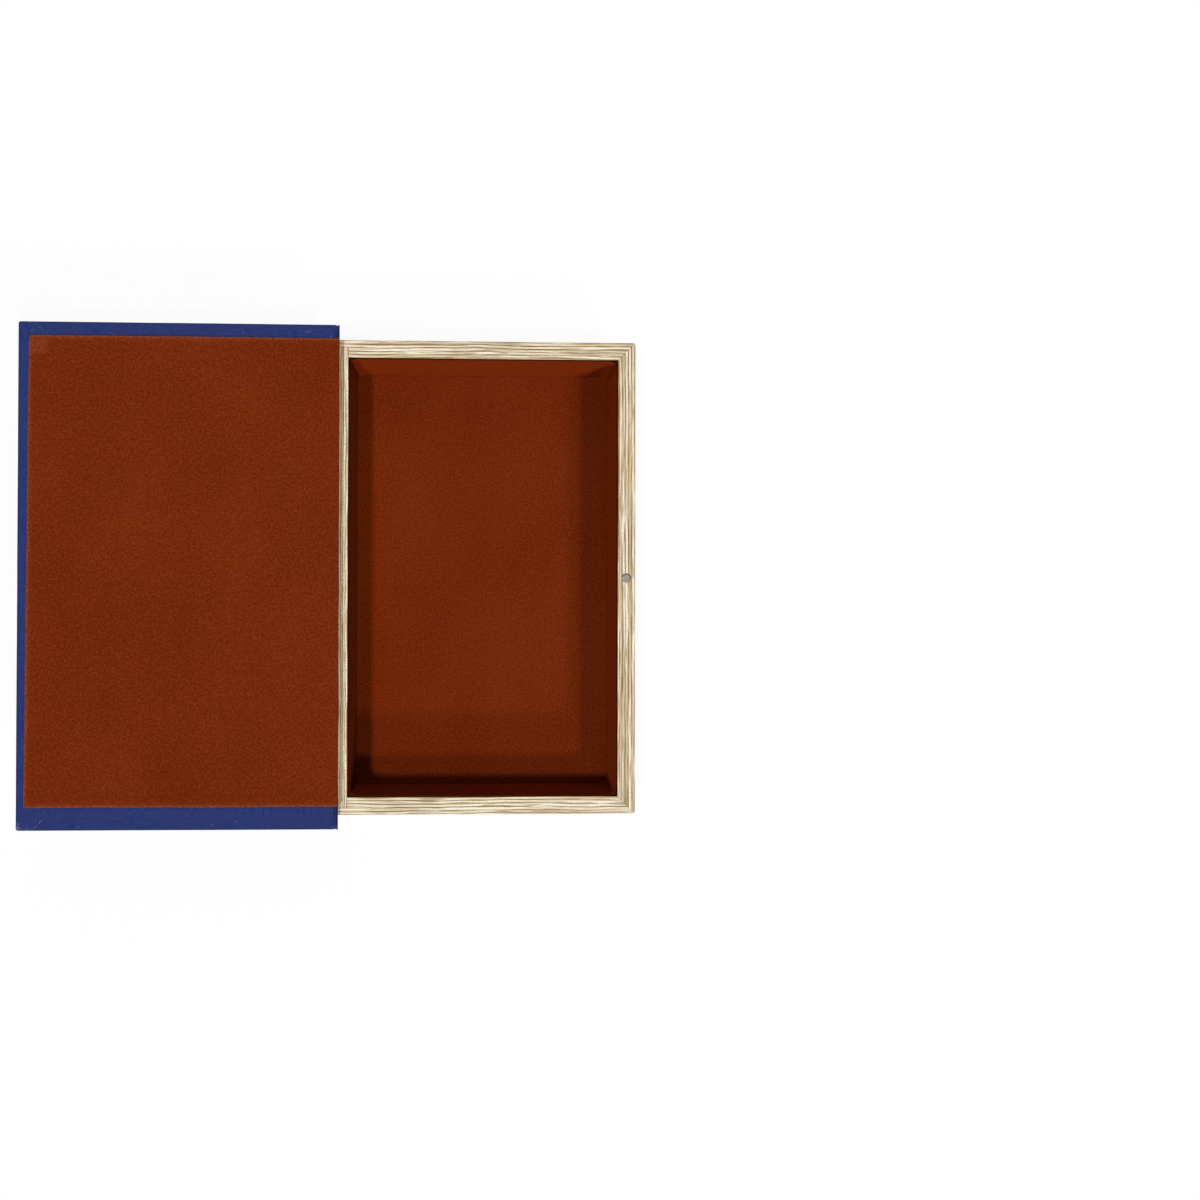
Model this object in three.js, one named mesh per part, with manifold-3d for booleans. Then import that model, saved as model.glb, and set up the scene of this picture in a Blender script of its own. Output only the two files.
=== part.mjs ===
// A keepsake box in the shape of a cloth-bound book: a lined tray glued into a case of cloth-covered boards.
// Millimetres, +Z up. The box lies on its back cover with the front cover opened flat towards -X.
// The origin is the middle of the back cover's underside; +X points to the fore edge, +Y to the head.

import * as THREE from 'three';
import { mergeVertices } from 'three/addons/utils/BufferGeometryUtils.js';
import Module from 'manifold-3d';

const wasm = await Module();
wasm.setup();

// Driving dimensions: the tray, measured over its paper
const trayWidth = 165.3; // spine side to fore edge
const trayLength = 256.9; // head to tail
const wallThickness = 9;
const wallHeight = 38;
const trayBaseThickness = 2.5;
const trayCornerRadius = 1.2;
const paperThickness = 0.4;
const paperTongueWidth = 4; // the strip of a head or tail paper that runs on past the spine-side paper
const trayLiningThickness = 0.8;
const liningBelowRim = 0.6;

// Driving dimensions: the case
const boardThickness = 2.5;
const clothThickness = 0.5;
const turnInWidth = 18;
const coverSquare = 6.6; // how far the covers stand out past the tray at head, tail and fore edge
const coverCornerRadius = 1;
const coverSetBack = 3.3; // from the tray's spine side to the spine edge of a closed cover
const foldSeamFromCorner = 9; // where the slanted seam leaves the head or tail edge
const foldSeamWidth = 0.3;
const foldSeamDepth = 0.25;

// Driving dimensions: the spine and its joints
const spineEdgeThickness = 1.5;
const spineBulge = 2; // how far the rounded back stands out past the board's long edges
const spineEdgeRadius = 1.2;
const spineRise = 2.35; // top of the spine over the tray's rim
const jointStart = 0.45; // where both joints leave the spine, measured from the tray's spine side
const jointLip = 1.2; // how far the front joint climbs the cover's edge
const jointRise = 1.2; // how far the fixed back joint is pressed up into its groove
const openOverlap = 4; // how far the opened cover lies over the tray's spine side

// Driving dimensions: the velvet panel in the front cover
const panelThickness = 1;
const panelHeadMargin = 7.5;
const panelTailMargin = 12.3;
const panelForeMarginHead = 6;
const panelForeMarginTail = 4.5;
const panelOverhang = 0.6; // how far the velvet reaches past the cover's spine edge, over the joint's cloth

// Driving dimensions: the magnetic catch
const magnetDiameter = 5;
const magnetHeight = 2;
const magnetFromForeEdge = 4.9;
const discDiameter = 10;
const discThickness = 1;

// Clearances
const glueLine = 0.05; // film of glue between two layers
const seamGap = 0.1; // open seam between two pieces cut to meet
const pocketClearance = 0.1;
const shutGap = 0.3; // between the rim and the velvet when the cover is shut
const openGap = 0.3; // between the spine and the cover that lies open on it
const cutPast = 1; // how far a cutter runs past the face that it opens
const sameCorner = 1e-4; // corners nearer to each other than this are one

// Heights, from the table up
const wrap = clothThickness + glueLine;
const casedThickness = boardThickness + 2 * wrap;
const trayBottom = casedThickness + glueLine;
const trayBaseTop = trayBottom + trayBaseThickness;
const wallBottom = trayBaseTop + glueLine;
const liningBottom = wallBottom;
const floorLiningTop = liningBottom + trayLiningThickness;
const wallTop = wallBottom + wallHeight;
const paperBottom = wallTop + glueLine;
const rimTop = paperBottom + paperThickness;
const liningTop = rimTop - liningBelowRim;
const spineTop = rimTop + spineRise;

// Places in plan
const coverWidth = trayWidth + coverSquare - coverSetBack;
const coverLength = trayLength + 2 * coverSquare;
const headEdge = coverLength / 2;
const backSpineEdge = -coverWidth / 2;
const backForeEdge = coverWidth / 2;
const traySpineSide = backSpineEdge - coverSetBack;
const trayForeEdge = traySpineSide + trayWidth;
const paperBuild = paperThickness + glueLine;
const woodForeEdge = trayForeEdge - paperBuild;
const woodHead = trayLength / 2 - paperBuild;
const innerSpineSide = traySpineSide + wallThickness;
const innerForeEdge = woodForeEdge - wallThickness;
const innerHead = woodHead - wallThickness;
const mitreShift = seamGap * Math.SQRT2;
const liningBuild = trayLiningThickness + glueLine;
const magnetX = trayForeEdge - magnetFromForeEdge;

// The opened cover, and the axis that it turns about
const openSpineEdge = traySpineSide + openOverlap;
const openForeEdge = openSpineEdge - coverWidth;
const openBottom = spineTop + openGap;
const openTurnInTop = openBottom + casedThickness;
const panelBottom = openTurnInTop + glueLine;
const panelTop = panelBottom + panelThickness;
const hingeX = (openSpineEdge + backSpineEdge) / 2;
const hingeZ = (panelTop + rimTop + shutGap) / 2;

// Shapes

// A box between two corners, with each face exactly at its given value
function block([x0, y0, z0], [x1, y1, z1]) {
  const geometry = new THREE.BoxGeometry(1, 1, 1);
  const position = geometry.attributes.position;
  for (let i = 0; i < position.count; i++) {
    position.setXYZ(
      i,
      position.getX(i) < 0 ? x0 : x1,
      position.getY(i) < 0 ? y0 : y1,
      position.getZ(i) < 0 ? z0 : z1
    );
  }
  return geometry;
}

// An outline with its curves cut into short straight sides, and no two corners in one place
function faceted(outline, curveSteps) {
  const corners = outline.getPoints(curveSteps);
  const isApart = (corner, i) => corner.distanceTo(corners[(i + 1) % corners.length]) > sameCorner;
  return new THREE.Shape(corners.filter(isApart));
}

// An upright prism on a plan outline, between two heights
function upright(outline, z0, z1) {
  const geometry = new THREE.ExtrudeGeometry(faceted(outline, 4), { depth: 1, bevelEnabled: false });
  const position = geometry.attributes.position;
  for (let i = 0; i < position.count; i++) {
    position.setZ(i, position.getZ(i) < 0.5 ? z0 : z1);
  }
  return geometry;
}

// A bar along Y whose section is drawn in X and Z, with round edges of the given radius at its two ends
function bar(section, length, endRadius = 0) {
  const geometry = new THREE.ExtrudeGeometry(faceted(section, 8), {
    depth: length - 2 * endRadius,
    bevelEnabled: endRadius > 0,
    bevelThickness: endRadius,
    bevelSize: endRadius,
    bevelOffset: -endRadius,
    bevelSegments: 3,
  });
  geometry.translate(0, 0, endRadius - length / 2);
  return geometry.rotateX(Math.PI / 2);
}

// A slab with round corners in plan and round edges above and below, like cloth folded over a board
function foldedSlab([x0, y0, z0], [x1, y1, z1], cornerRadius, edgeRadius) {
  const outline = roundedRectangle(x0, y0, x1, y1, cornerRadius);
  const geometry = new THREE.ExtrudeGeometry(faceted(outline, 3), {
    depth: z1 - z0 - 2 * edgeRadius,
    bevelThickness: edgeRadius,
    bevelSize: edgeRadius,
    bevelOffset: -edgeRadius,
    bevelSegments: 3,
  });
  return geometry.translate(0, 0, z0 + edgeRadius);
}

function roundedRectangle(x0, y0, x1, y1, radius) {
  const outline = new THREE.Shape();
  outline.absarc(x1 - radius, y1 - radius, radius, 0, Math.PI / 2);
  outline.absarc(x0 + radius, y1 - radius, radius, Math.PI / 2, Math.PI);
  outline.absarc(x0 + radius, y0 + radius, radius, Math.PI, 1.5 * Math.PI);
  outline.absarc(x1 - radius, y0 + radius, radius, 1.5 * Math.PI, 2 * Math.PI);
  return outline;
}

function disc(diameter, x, y, z0, z1) {
  const geometry = new THREE.CylinderGeometry(diameter / 2, diameter / 2, z1 - z0, 32);
  return geometry.rotateX(Math.PI / 2).translate(x, y, (z0 + z1) / 2);
}

// A shape mirrored from the head end to the tail end
function mirrored(outline) {
  return new THREE.Shape(outline.getPoints(4).map((point) => new THREE.Vector2(point.x, -point.y)));
}

// Joining and cutting

function toSolid(geometry) {
  const bare = geometry.clone();
  bare.deleteAttribute('normal');
  bare.deleteAttribute('uv');
  const merged = mergeVertices(bare, sameCorner);
  return new wasm.Manifold(
    new wasm.Mesh({
      numProp: 3,
      vertProperties: new Float32Array(merged.attributes.position.array),
      triVerts: new Uint32Array(merged.index.array),
    })
  );
}

function toGeometry(solid) {
  const mesh = solid.getMesh();
  const geometry = new THREE.BufferGeometry();
  geometry.setAttribute('position', new THREE.BufferAttribute(new Float32Array(mesh.vertProperties), 3));
  geometry.setIndex(new THREE.BufferAttribute(new Uint32Array(mesh.triVerts), 1));
  geometry.computeVertexNormals();
  return geometry;
}

function cut(body, ...cutters) {
  return toGeometry(cutters.reduce((solid, cutter) => solid.subtract(toSolid(cutter)), toSolid(body)));
}

function join(first, ...others) {
  return toGeometry(others.reduce((solid, other) => solid.add(toSolid(other)), toSolid(first)));
}

// Materials

function finish(color, roughness, metalness = 0) {
  return new THREE.MeshStandardMaterial({ color, roughness, metalness });
}

const bookCloth = finish(0x24285f, 0.85);
const velvet = finish(0x732a0e, 0.95);
const pageEdgePaper = finish(0xe6d8ba, 0.7);
const fibreboard = finish(0xa98a62, 0.85);
const greyBoard = finish(0x9a958c, 0.9);
const magnetSteel = finish(0xa6a69c, 0.35, 0.9);

function piece(name, geometry, material) {
  const mesh = new THREE.Mesh(geometry, material);
  mesh.name = name;
  return mesh;
}

// Covers: a board, and the cloth folded over its four edges

// The board of a cover whose cloth lies between two edges and stands on the given height
function coverBoard(spineEdge, foreEdge, bottom) {
  const low = Math.min(spineEdge, foreEdge) + wrap;
  const high = Math.max(spineEdge, foreEdge) - wrap;
  const underside = bottom + wrap;
  return block([low, wrap - headEdge, underside], [high, headEdge - wrap, underside + boardThickness]);
}

// The hollow in the cloth that the board fills, with its film of glue
function boardHollow(spineEdge, foreEdge, bottom) {
  const low = Math.min(spineEdge, foreEdge) + clothThickness;
  const high = Math.max(spineEdge, foreEdge) - clothThickness;
  return block(
    [low, clothThickness - headEdge, bottom + clothThickness],
    [high, headEdge - clothThickness, bottom + casedThickness - clothThickness]
  );
}

// The slanted seam where the fore-edge turn-in, folded last, ends on the others
// (side is 1 at the head and -1 at the tail)
function foldSeam(foreEdge, inward, side, top) {
  const half = foldSeamWidth / 2;
  const reach = turnInWidth + cutPast;
  const start = foreEdge + inward * foldSeamFromCorner;
  const seam = new THREE.Shape([
    new THREE.Vector2(start - inward * (cutPast + half), side * (headEdge + cutPast - half)),
    new THREE.Vector2(start - inward * (cutPast - half), side * (headEdge + cutPast + half)),
    new THREE.Vector2(start + inward * (reach + half), side * (headEdge - reach + half)),
    new THREE.Vector2(start + inward * (reach - half), side * (headEdge - reach - half)),
  ]);
  return upright(seam, top - foldSeamDepth, top + cutPast);
}

// Cloth over a cover's outer face and edges, turned in on the inner face at head, tail and fore edge
function coverCloth(spineEdge, foreEdge, bottom) {
  const inward = Math.sign(spineEdge - foreEdge);
  const top = bottom + casedThickness;
  const low = Math.min(spineEdge, foreEdge);
  const high = Math.max(spineEdge, foreEdge);
  const corners = [[low, -headEdge, bottom], [high, headEdge, top]];
  const outside = foldedSlab(...corners, coverCornerRadius, clothThickness);
  const windowEnds = [foreEdge + inward * turnInWidth, spineEdge + inward * cutPast];
  const innerWindow = block(
    [Math.min(...windowEnds), turnInWidth - headEdge, top - clothThickness],
    [Math.max(...windowEnds), headEdge - turnInWidth, top + cutPast]
  );
  return cut(
    outside,
    boardHollow(spineEdge, foreEdge, bottom),
    innerWindow,
    foldSeam(foreEdge, inward, 1, top),
    foldSeam(foreEdge, inward, -1, top)
  );
}

function backBoard() {
  return coverBoard(backSpineEdge, backForeEdge, 0);
}

// The fixed joint under the tray: cloth pressed up into the groove between the spine and the back board
function backJoint() {
  const start = traySpineSide + jointStart + glueLine;
  const end = backSpineEdge + clothThickness / 2;
  const middle = (start + end) / 2;
  const section = new THREE.Shape();
  section.moveTo(start, 0);
  section.quadraticCurveTo(middle, 2 * jointRise, end, clothThickness / 2);
  section.lineTo(end, 1.5 * clothThickness);
  section.quadraticCurveTo(middle, 2 * jointRise + clothThickness, start, clothThickness);
  return bar(section, coverLength - 2 * clothThickness);
}

function backCloth() {
  return join(coverCloth(backSpineEdge, backForeEdge, 0), backJoint());
}

function frontBoard() {
  const boardTop = openBottom + wrap + boardThickness;
  const pocket = disc(
    discDiameter + 2 * pocketClearance,
    2 * hingeX - magnetX,
    0,
    boardTop - discThickness - glueLine,
    boardTop + cutPast
  );
  return cut(coverBoard(openSpineEdge, openForeEdge, openBottom), pocket);
}

function frontCloth() {
  return coverCloth(openSpineEdge, openForeEdge, openBottom);
}

// The disc lies in the front board's inner face, where the magnet meets it when the cover is shut
function coverDisc() {
  const boardTop = openBottom + wrap + boardThickness;
  return disc(discDiameter, 2 * hingeX - magnetX, 0, boardTop - discThickness, boardTop);
}

// Velvet panel: over the turn-ins at its rim, and down on the board between them
function coverLining() {
  const outline = new THREE.Shape([
    new THREE.Vector2(openForeEdge + panelForeMarginTail, panelTailMargin - headEdge),
    new THREE.Vector2(openSpineEdge + panelOverhang, panelTailMargin - headEdge),
    new THREE.Vector2(openSpineEdge + panelOverhang, headEdge - panelHeadMargin),
    new THREE.Vector2(openForeEdge + panelForeMarginHead, headEdge - panelHeadMargin),
  ]);
  const sunken = block(
    [openForeEdge + turnInWidth + seamGap, turnInWidth + seamGap - headEdge, openTurnInTop - clothThickness],
    [openSpineEdge + panelOverhang, headEdge - turnInWidth - seamGap, panelBottom + panelThickness / 2]
  );
  return join(upright(outline, panelBottom, panelTop), sunken);
}

// Spine: a rounded board with cloth over it, and the joint that the front cover turns on

// The spine's section, grown outwards by the given amount; its back is an arc with eased long edges
function spineSection(grow) {
  const inner = traySpineSide - glueLine - wrap + grow;
  const bottom = wrap;
  const top = spineTop - wrap;
  const middle = (bottom + top) / 2;
  const halfHeight = (top - bottom) / 2;
  const backRadius = (halfHeight ** 2 + spineBulge ** 2) / (2 * spineBulge);
  const backCentre = traySpineSide - glueLine - wrap - spineEdgeThickness - spineBulge + backRadius;
  const easeZ = halfHeight - spineEdgeRadius;
  const easeX = -Math.sqrt((backRadius - spineEdgeRadius) ** 2 - easeZ ** 2);
  const turn = Math.atan2(easeZ, easeX);
  const section = new THREE.Shape();
  const edgeRadius = spineEdgeRadius + grow;
  section.absarc(backCentre + easeX, middle + easeZ, edgeRadius, Math.PI / 2, turn);
  section.absarc(backCentre, middle, backRadius + grow, turn, 2 * Math.PI - turn);
  section.absarc(backCentre + easeX, middle - easeZ, edgeRadius, 2 * Math.PI - turn, 1.5 * Math.PI);
  section.lineTo(inner, bottom - grow);
  section.lineTo(inner, top + grow);
  return section;
}

function spineBoard() {
  return bar(spineSection(0), coverLength - 2 * wrap);
}

// A strip of the spine's cloth that runs on past the board to where a joint starts
function jointFlange(bottom) {
  return block(
    [traySpineSide - wrap, clothThickness - headEdge, bottom],
    [traySpineSide + jointStart, headEdge - clothThickness, bottom + clothThickness]
  );
}

// Cloth over the spine board, turned in at the head and tail, open where the tray is glued to the board
function spineCloth() {
  const outside = bar(spineSection(wrap), coverLength, clothThickness);
  const hollow = bar(spineSection(glueLine), coverLength - 2 * clothThickness);
  const glueFace = block(
    [traySpineSide - glueLine - wrap, turnInWidth - headEdge, clothThickness],
    [traySpineSide + cutPast, headEdge - turnInWidth, spineTop - clothThickness]
  );
  const sleeve = cut(outside, hollow, glueFace);
  return join(sleeve, jointFlange(0), jointFlange(spineTop - clothThickness));
}

// The front joint with the cover open: a strip that leaves the spine's top and climbs the cover's edge
function jointCloth() {
  const start = traySpineSide + jointStart + glueLine;
  const inside = openSpineEdge + seamGap;
  const outside = inside + clothThickness;
  const bottom = spineTop - clothThickness;
  const bend = clothThickness;
  const section = new THREE.Shape();
  section.moveTo(start, bottom);
  section.lineTo(outside - bend, bottom);
  section.absarc(outside - bend, bottom + bend, bend, 1.5 * Math.PI, 2 * Math.PI);
  section.lineTo(outside, openBottom + jointLip);
  section.lineTo(inside, openBottom + jointLip);
  section.lineTo(inside, spineTop);
  section.lineTo(start, spineTop);
  return bar(section, coverLength);
}

// Tray: base, four walls, paper over the rim and outside, velvet inside

// Plan outline of the whole tray's wood, grown outwards, and run past its spine side by the given amount
function trayOutline(grow, past) {
  const radius = trayCornerRadius + grow;
  const fore = woodForeEdge + grow;
  const head = woodHead + grow;
  const outline = new THREE.Shape();
  outline.absarc(fore - radius, radius - head, radius, 1.5 * Math.PI, 2 * Math.PI);
  outline.absarc(fore - radius, head - radius, radius, 0, Math.PI / 2);
  outline.lineTo(traySpineSide - past, head);
  outline.lineTo(traySpineSide - past, -head);
  return outline;
}

// Plan outline of the head wall, grown outwards: square at the spine side, mitred at the fore edge
function headOutline(grow) {
  const radius = trayCornerRadius + grow;
  const centreX = woodForeEdge - trayCornerRadius - mitreShift;
  const centreY = woodHead - trayCornerRadius;
  const outline = new THREE.Shape();
  outline.moveTo(traySpineSide, innerHead);
  outline.lineTo(innerForeEdge - mitreShift, innerHead);
  outline.absarc(centreX, centreY, radius, Math.PI / 4, Math.PI / 2);
  outline.lineTo(traySpineSide, woodHead + grow);
  return outline;
}

// Plan outline of the fore-edge wall, grown outwards: mitred at both ends
function foreOutline(grow) {
  const radius = trayCornerRadius + grow;
  const centreX = woodForeEdge - trayCornerRadius;
  const centreY = woodHead - trayCornerRadius;
  const outline = new THREE.Shape();
  outline.absarc(centreX, -centreY, radius, -Math.PI / 4, 0);
  outline.absarc(centreX, centreY, radius, 0, Math.PI / 4);
  outline.lineTo(innerForeEdge, innerHead);
  outline.lineTo(innerForeEdge, -innerHead);
  return outline;
}

function trayBase() {
  return upright(trayOutline(0, 0), trayBottom, trayBaseTop);
}

function headWall() {
  return upright(headOutline(0), wallBottom, wallTop);
}

function tailWall() {
  return upright(mirrored(headOutline(0)), wallBottom, wallTop);
}

function magnetPocket() {
  const diameter = magnetDiameter + 2 * pocketClearance;
  return disc(diameter, magnetX, 0, rimTop - magnetHeight - glueLine, rimTop + cutPast);
}

function foreEdgeWall() {
  return cut(upright(foreOutline(0), wallBottom, wallTop), magnetPocket());
}

// Butted between the head and tail walls
function spineSideWall() {
  const end = innerHead - glueLine;
  return block([traySpineSide, -end, wallBottom], [innerSpineSide, end, wallTop]);
}

// The room that the wood takes up inside the paper
function woodRoom() {
  return upright(trayOutline(glueLine, cutPast), trayBottom - cutPast, paperBottom);
}

// The papers' outer skin: as they fold over the wood's sharp edges, their own edges come out round
function paperSkin() {
  const outline = trayOutline(paperBuild, cutPast);
  const depth = rimTop - trayBottom + cutPast;
  const geometry = new THREE.ExtrudeGeometry(faceted(outline, 4), {
    depth: depth - 2 * paperThickness,
    bevelThickness: paperThickness,
    bevelSize: paperThickness,
    bevelOffset: -paperThickness,
    bevelSegments: 3,
  });
  return geometry.translate(0, 0, rimTop - depth + paperThickness);
}

// Paper for one wall, given the wall's plan outline grown out to the paper's outside
function wallPaper(outline, ...cutters) {
  const paper = toSolid(upright(outline, trayBottom, rimTop)).intersect(toSolid(paperSkin()));
  return cut(toGeometry(paper), woodRoom(), ...cutters);
}

// The head and tail papers are notched, so that the spine-side paper runs on between their outer strips
function paperNotch() {
  const end = trayLength / 2 - paperTongueWidth + seamGap;
  return block(
    [traySpineSide - cutPast, -end, trayBottom - cutPast],
    [innerSpineSide + seamGap, end, rimTop + cutPast]
  );
}

function headPaper() {
  return wallPaper(headOutline(paperBuild), paperNotch());
}

function tailPaper() {
  return wallPaper(mirrored(headOutline(paperBuild)), paperNotch());
}

function foreEdgePaper() {
  return wallPaper(foreOutline(paperBuild), magnetPocket());
}

function spineSidePaper() {
  const end = trayLength / 2 - paperTongueWidth;
  return block([traySpineSide, -end, paperBottom], [innerSpineSide, end, rimTop]);
}

function trayMagnet() {
  return disc(magnetDiameter, magnetX, 0, rimTop - magnetHeight, rimTop);
}

// Lining of an end wall; side is 1 at the head and -1 at the tail
function endLining(side) {
  const faces = [side * (innerHead - glueLine), side * (innerHead - liningBuild)];
  return block(
    [innerSpineSide + glueLine, Math.min(...faces), liningBottom],
    [innerForeEdge - glueLine, Math.max(...faces), liningTop]
  );
}

// Lining of a long wall, fitted between the two end linings
function sideLining(x0, x1) {
  const end = innerHead - liningBuild - glueLine;
  return block([x0, -end, liningBottom], [x1, end, liningTop]);
}

function spineSideLining() {
  return sideLining(innerSpineSide + glueLine, innerSpineSide + liningBuild);
}

function foreEdgeLining() {
  return sideLining(innerForeEdge - liningBuild, innerForeEdge - glueLine);
}

// The floor's lining goes in last, between the linings of the walls
function floorLining() {
  const end = innerHead - liningBuild - glueLine;
  return block(
    [innerSpineSide + liningBuild + glueLine, -end, liningBottom],
    [innerForeEdge - liningBuild - glueLine, end, floorLiningTop]
  );
}

// The front cover is one group that turns about the joint: rotation.y runs from 0, open, to Math.PI, shut
const cover = new THREE.Group();
cover.position.set(hingeX, 0, hingeZ);

const box = new THREE.Group();
box.add(
  cover,
  piece('back_board', backBoard(), greyBoard),
  piece('back_cloth', backCloth(), bookCloth),
  piece('spine_board', spineBoard(), greyBoard),
  piece('spine_cloth', spineCloth(), bookCloth),
  piece('joint_cloth', jointCloth(), bookCloth),
  piece('tray_base', trayBase(), fibreboard),
  piece('head_wall', headWall(), fibreboard),
  piece('tail_wall', tailWall(), fibreboard),
  piece('fore_edge_wall', foreEdgeWall(), fibreboard),
  piece('spine_side_wall', spineSideWall(), fibreboard),
  piece('head_paper', headPaper(), pageEdgePaper),
  piece('tail_paper', tailPaper(), pageEdgePaper),
  piece('fore_edge_paper', foreEdgePaper(), pageEdgePaper),
  piece('spine_side_paper', spineSidePaper(), pageEdgePaper),
  piece('head_lining', endLining(1), velvet),
  piece('tail_lining', endLining(-1), velvet),
  piece('fore_edge_lining', foreEdgeLining(), velvet),
  piece('spine_side_lining', spineSideLining(), velvet),
  piece('floor_lining', floorLining(), velvet),
  piece('tray_magnet', trayMagnet(), magnetSteel)
);
box.updateMatrixWorld(true);

// Each cover piece is made where it lies when open, and attach keeps it there
for (const part of [
  piece('front_board', frontBoard(), greyBoard),
  piece('front_cloth', frontCloth(), bookCloth),
  piece('cover_lining', coverLining(), velvet),
  piece('cover_disc', coverDisc(), magnetSteel),
]) {
  cover.attach(part);
}

export default box;
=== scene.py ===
# %% [markdown]
# # A keepsake box that looks like a book
#
# The real object is a lined tray glued into a case of cloth-covered boards. Its front cover is
# open and lies flat over the top edge of the spine. The packed model already holds every piece at
# its true place and size, and this lesson dresses it: folded book cloth, velvet, the paper that
# looks like page edges, and a stamped design.
#
# The model could be remodelled from nothing, but then nothing would be sure to fit. Loading it as
# a fixed frame and reading each piece's box keeps every new mesh where the real piece sits.

# %% Load the packed model
import math

import bpy
import numpy as np
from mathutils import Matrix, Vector, noise


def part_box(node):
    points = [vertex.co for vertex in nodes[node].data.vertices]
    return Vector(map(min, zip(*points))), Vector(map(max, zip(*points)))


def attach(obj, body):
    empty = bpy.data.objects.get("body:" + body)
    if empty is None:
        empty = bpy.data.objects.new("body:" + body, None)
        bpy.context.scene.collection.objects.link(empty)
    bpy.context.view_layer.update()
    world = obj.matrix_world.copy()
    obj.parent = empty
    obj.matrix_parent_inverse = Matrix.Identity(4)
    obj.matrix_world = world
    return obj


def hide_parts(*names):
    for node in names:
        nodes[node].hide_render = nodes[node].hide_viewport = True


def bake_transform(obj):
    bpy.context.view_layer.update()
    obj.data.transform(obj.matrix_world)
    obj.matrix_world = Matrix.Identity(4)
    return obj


noise.seed_set(1)  # the same unevenness in every run
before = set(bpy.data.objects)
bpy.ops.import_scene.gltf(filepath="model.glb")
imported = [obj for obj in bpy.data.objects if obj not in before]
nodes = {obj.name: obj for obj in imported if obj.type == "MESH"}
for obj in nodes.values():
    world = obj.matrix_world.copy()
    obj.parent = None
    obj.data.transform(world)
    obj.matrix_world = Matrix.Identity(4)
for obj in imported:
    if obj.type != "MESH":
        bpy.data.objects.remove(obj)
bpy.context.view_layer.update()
MM = 0.001  # lengths here are in millimetres, and the scene is in metres
print("pieces in the frame:", len(nodes))

# %% [markdown]
# ## Camera
#
# The photograph looks straight down on the open box from about 60 cm, and the box stands left of
# the frame's middle. A camera could be aimed by eye, but one fitted to the corners of the cover
# and the rim shows the same amount of each inner wall. The lens shift moves the view sideways
# without turning it, so the upright walls still run towards the middle of the real lens.

# %% The camera
picture_width = 1200  # pixels, and the frame is square
lens_in_pixels = 1012.2
optical_centre = (500.0, 602.3)  # pixels from the frame's left and top edges
camera_place = (-14.07, -17.49, 594.13)
camera_turns = (0.0073, -0.0327, 0.0025)  # radians: it looks almost straight down
sensor_width = 36.0


def add_object(name, data):
    """Puts a camera, a lamp or a mesh into the scene."""
    thing = bpy.data.objects.new(name, data)
    bpy.context.scene.collection.objects.link(thing)
    return thing


camera_data = bpy.data.cameras.new("camera")
camera_data.sensor_width = sensor_width
camera_data.lens = lens_in_pixels * sensor_width / picture_width
camera_data.shift_x = (picture_width / 2 - optical_centre[0]) / picture_width
camera_data.shift_y = (optical_centre[1] - picture_width / 2) / picture_width
camera_data.clip_start = 0.01
camera = add_object("camera", camera_data)
camera.location = Vector(camera_place) * MM
camera.rotation_euler = camera_turns
bpy.context.scene.camera = camera
print("lens:", round(camera_data.lens, 2), "mm")

# %% [markdown]
# ## Floor, background and lamps
#
# The photograph has a plain white surround. The bands of shade inside the tray show four lamps:
# a strong one a little to the left, two on the right that stand further and further towards the
# tail, and a weak broad one at the head. Area lamps could do this, but sun lamps with a wide disc
# give the same soft edge everywhere and light the other sides of the box evenly too. With the
# dim world they come to a plain level, at which a colour shows about as it is written. Rays that
# come straight from the camera see a white floor and a white world.
#
# Shaders are trees of nodes. Long chains of Math nodes are hard to read, so an `Amount` stands
# for the number that a socket gives, and a sum written with it adds the node that works it out.

# %% Helpers for node trees
def new_tree(material):
    """The empty node tree of a material or world, with its output node."""
    material.use_nodes = True
    tree = material.node_tree
    tree.nodes.clear()
    kind = "OutputWorld" if isinstance(material, bpy.types.World) else "OutputMaterial"
    return tree, tree.nodes.new("ShaderNode" + kind)


def add_node(tree, kind, inputs=None, **settings):
    """One shader node; inputs holds constants, or what feeds it, by the name or place of the socket."""
    node = tree.nodes.new("ShaderNode" + kind)
    for name, value in settings.items():
        setattr(node, name, value)
    for name, value in (inputs or {}).items():
        value = getattr(value, "socket", value)
        if isinstance(value, bpy.types.NodeSocket):
            tree.links.new(value, node.inputs[name])
        else:
            node.inputs[name].default_value = value
    return node


def srgb(red, green, blue):
    """A linear colour from 0-255 values as a picture shows them."""
    shares = [value / 255 for value in (red, green, blue)]
    linear = [s / 12.92 if s <= 0.04045 else ((s + 0.055) / 1.055) ** 2.4 for s in shares]
    return (*linear, 1.0)


print("middle grey as a linear colour:", round(srgb(128, 128, 128)[0], 3))

# %% Sums with nodes
def math_node(operation):
    """A way to work out one amount from another, or from two."""
    def worked_out(first, second=0.0):
        """The amount that a new Math node gives."""
        node = add_node(first.tree, "Math", {0: first, 1: second}, operation=operation)
        return Amount(node.outputs[0])
    return worked_out


class Amount:
    """A number that nodes work out at each point; a sum written with it adds a Math node."""

    def __init__(self, socket):
        self.socket = socket
        self.tree = socket.id_data

    def __rsub__(self, other):
        return self * -1.0 + other

    __add__ = math_node("ADD")
    __sub__ = math_node("SUBTRACT")
    __mul__ = math_node("MULTIPLY")
    __abs__ = math_node("ABSOLUTE")
    sine = math_node("SINE")
    above = math_node("GREATER_THAN")
    at_least = math_node("MAXIMUM")


def seen_directly(tree):
    """1 for rays of the camera and for mirror and glass rays, 0 for the light that falls on things."""
    rays = add_node(tree, "LightPath").outputs
    straight = Amount(rays["Is Camera Ray"]).at_least(rays["Is Glossy Ray"])
    return straight.at_least(rays["Is Transmission Ray"])


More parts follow.
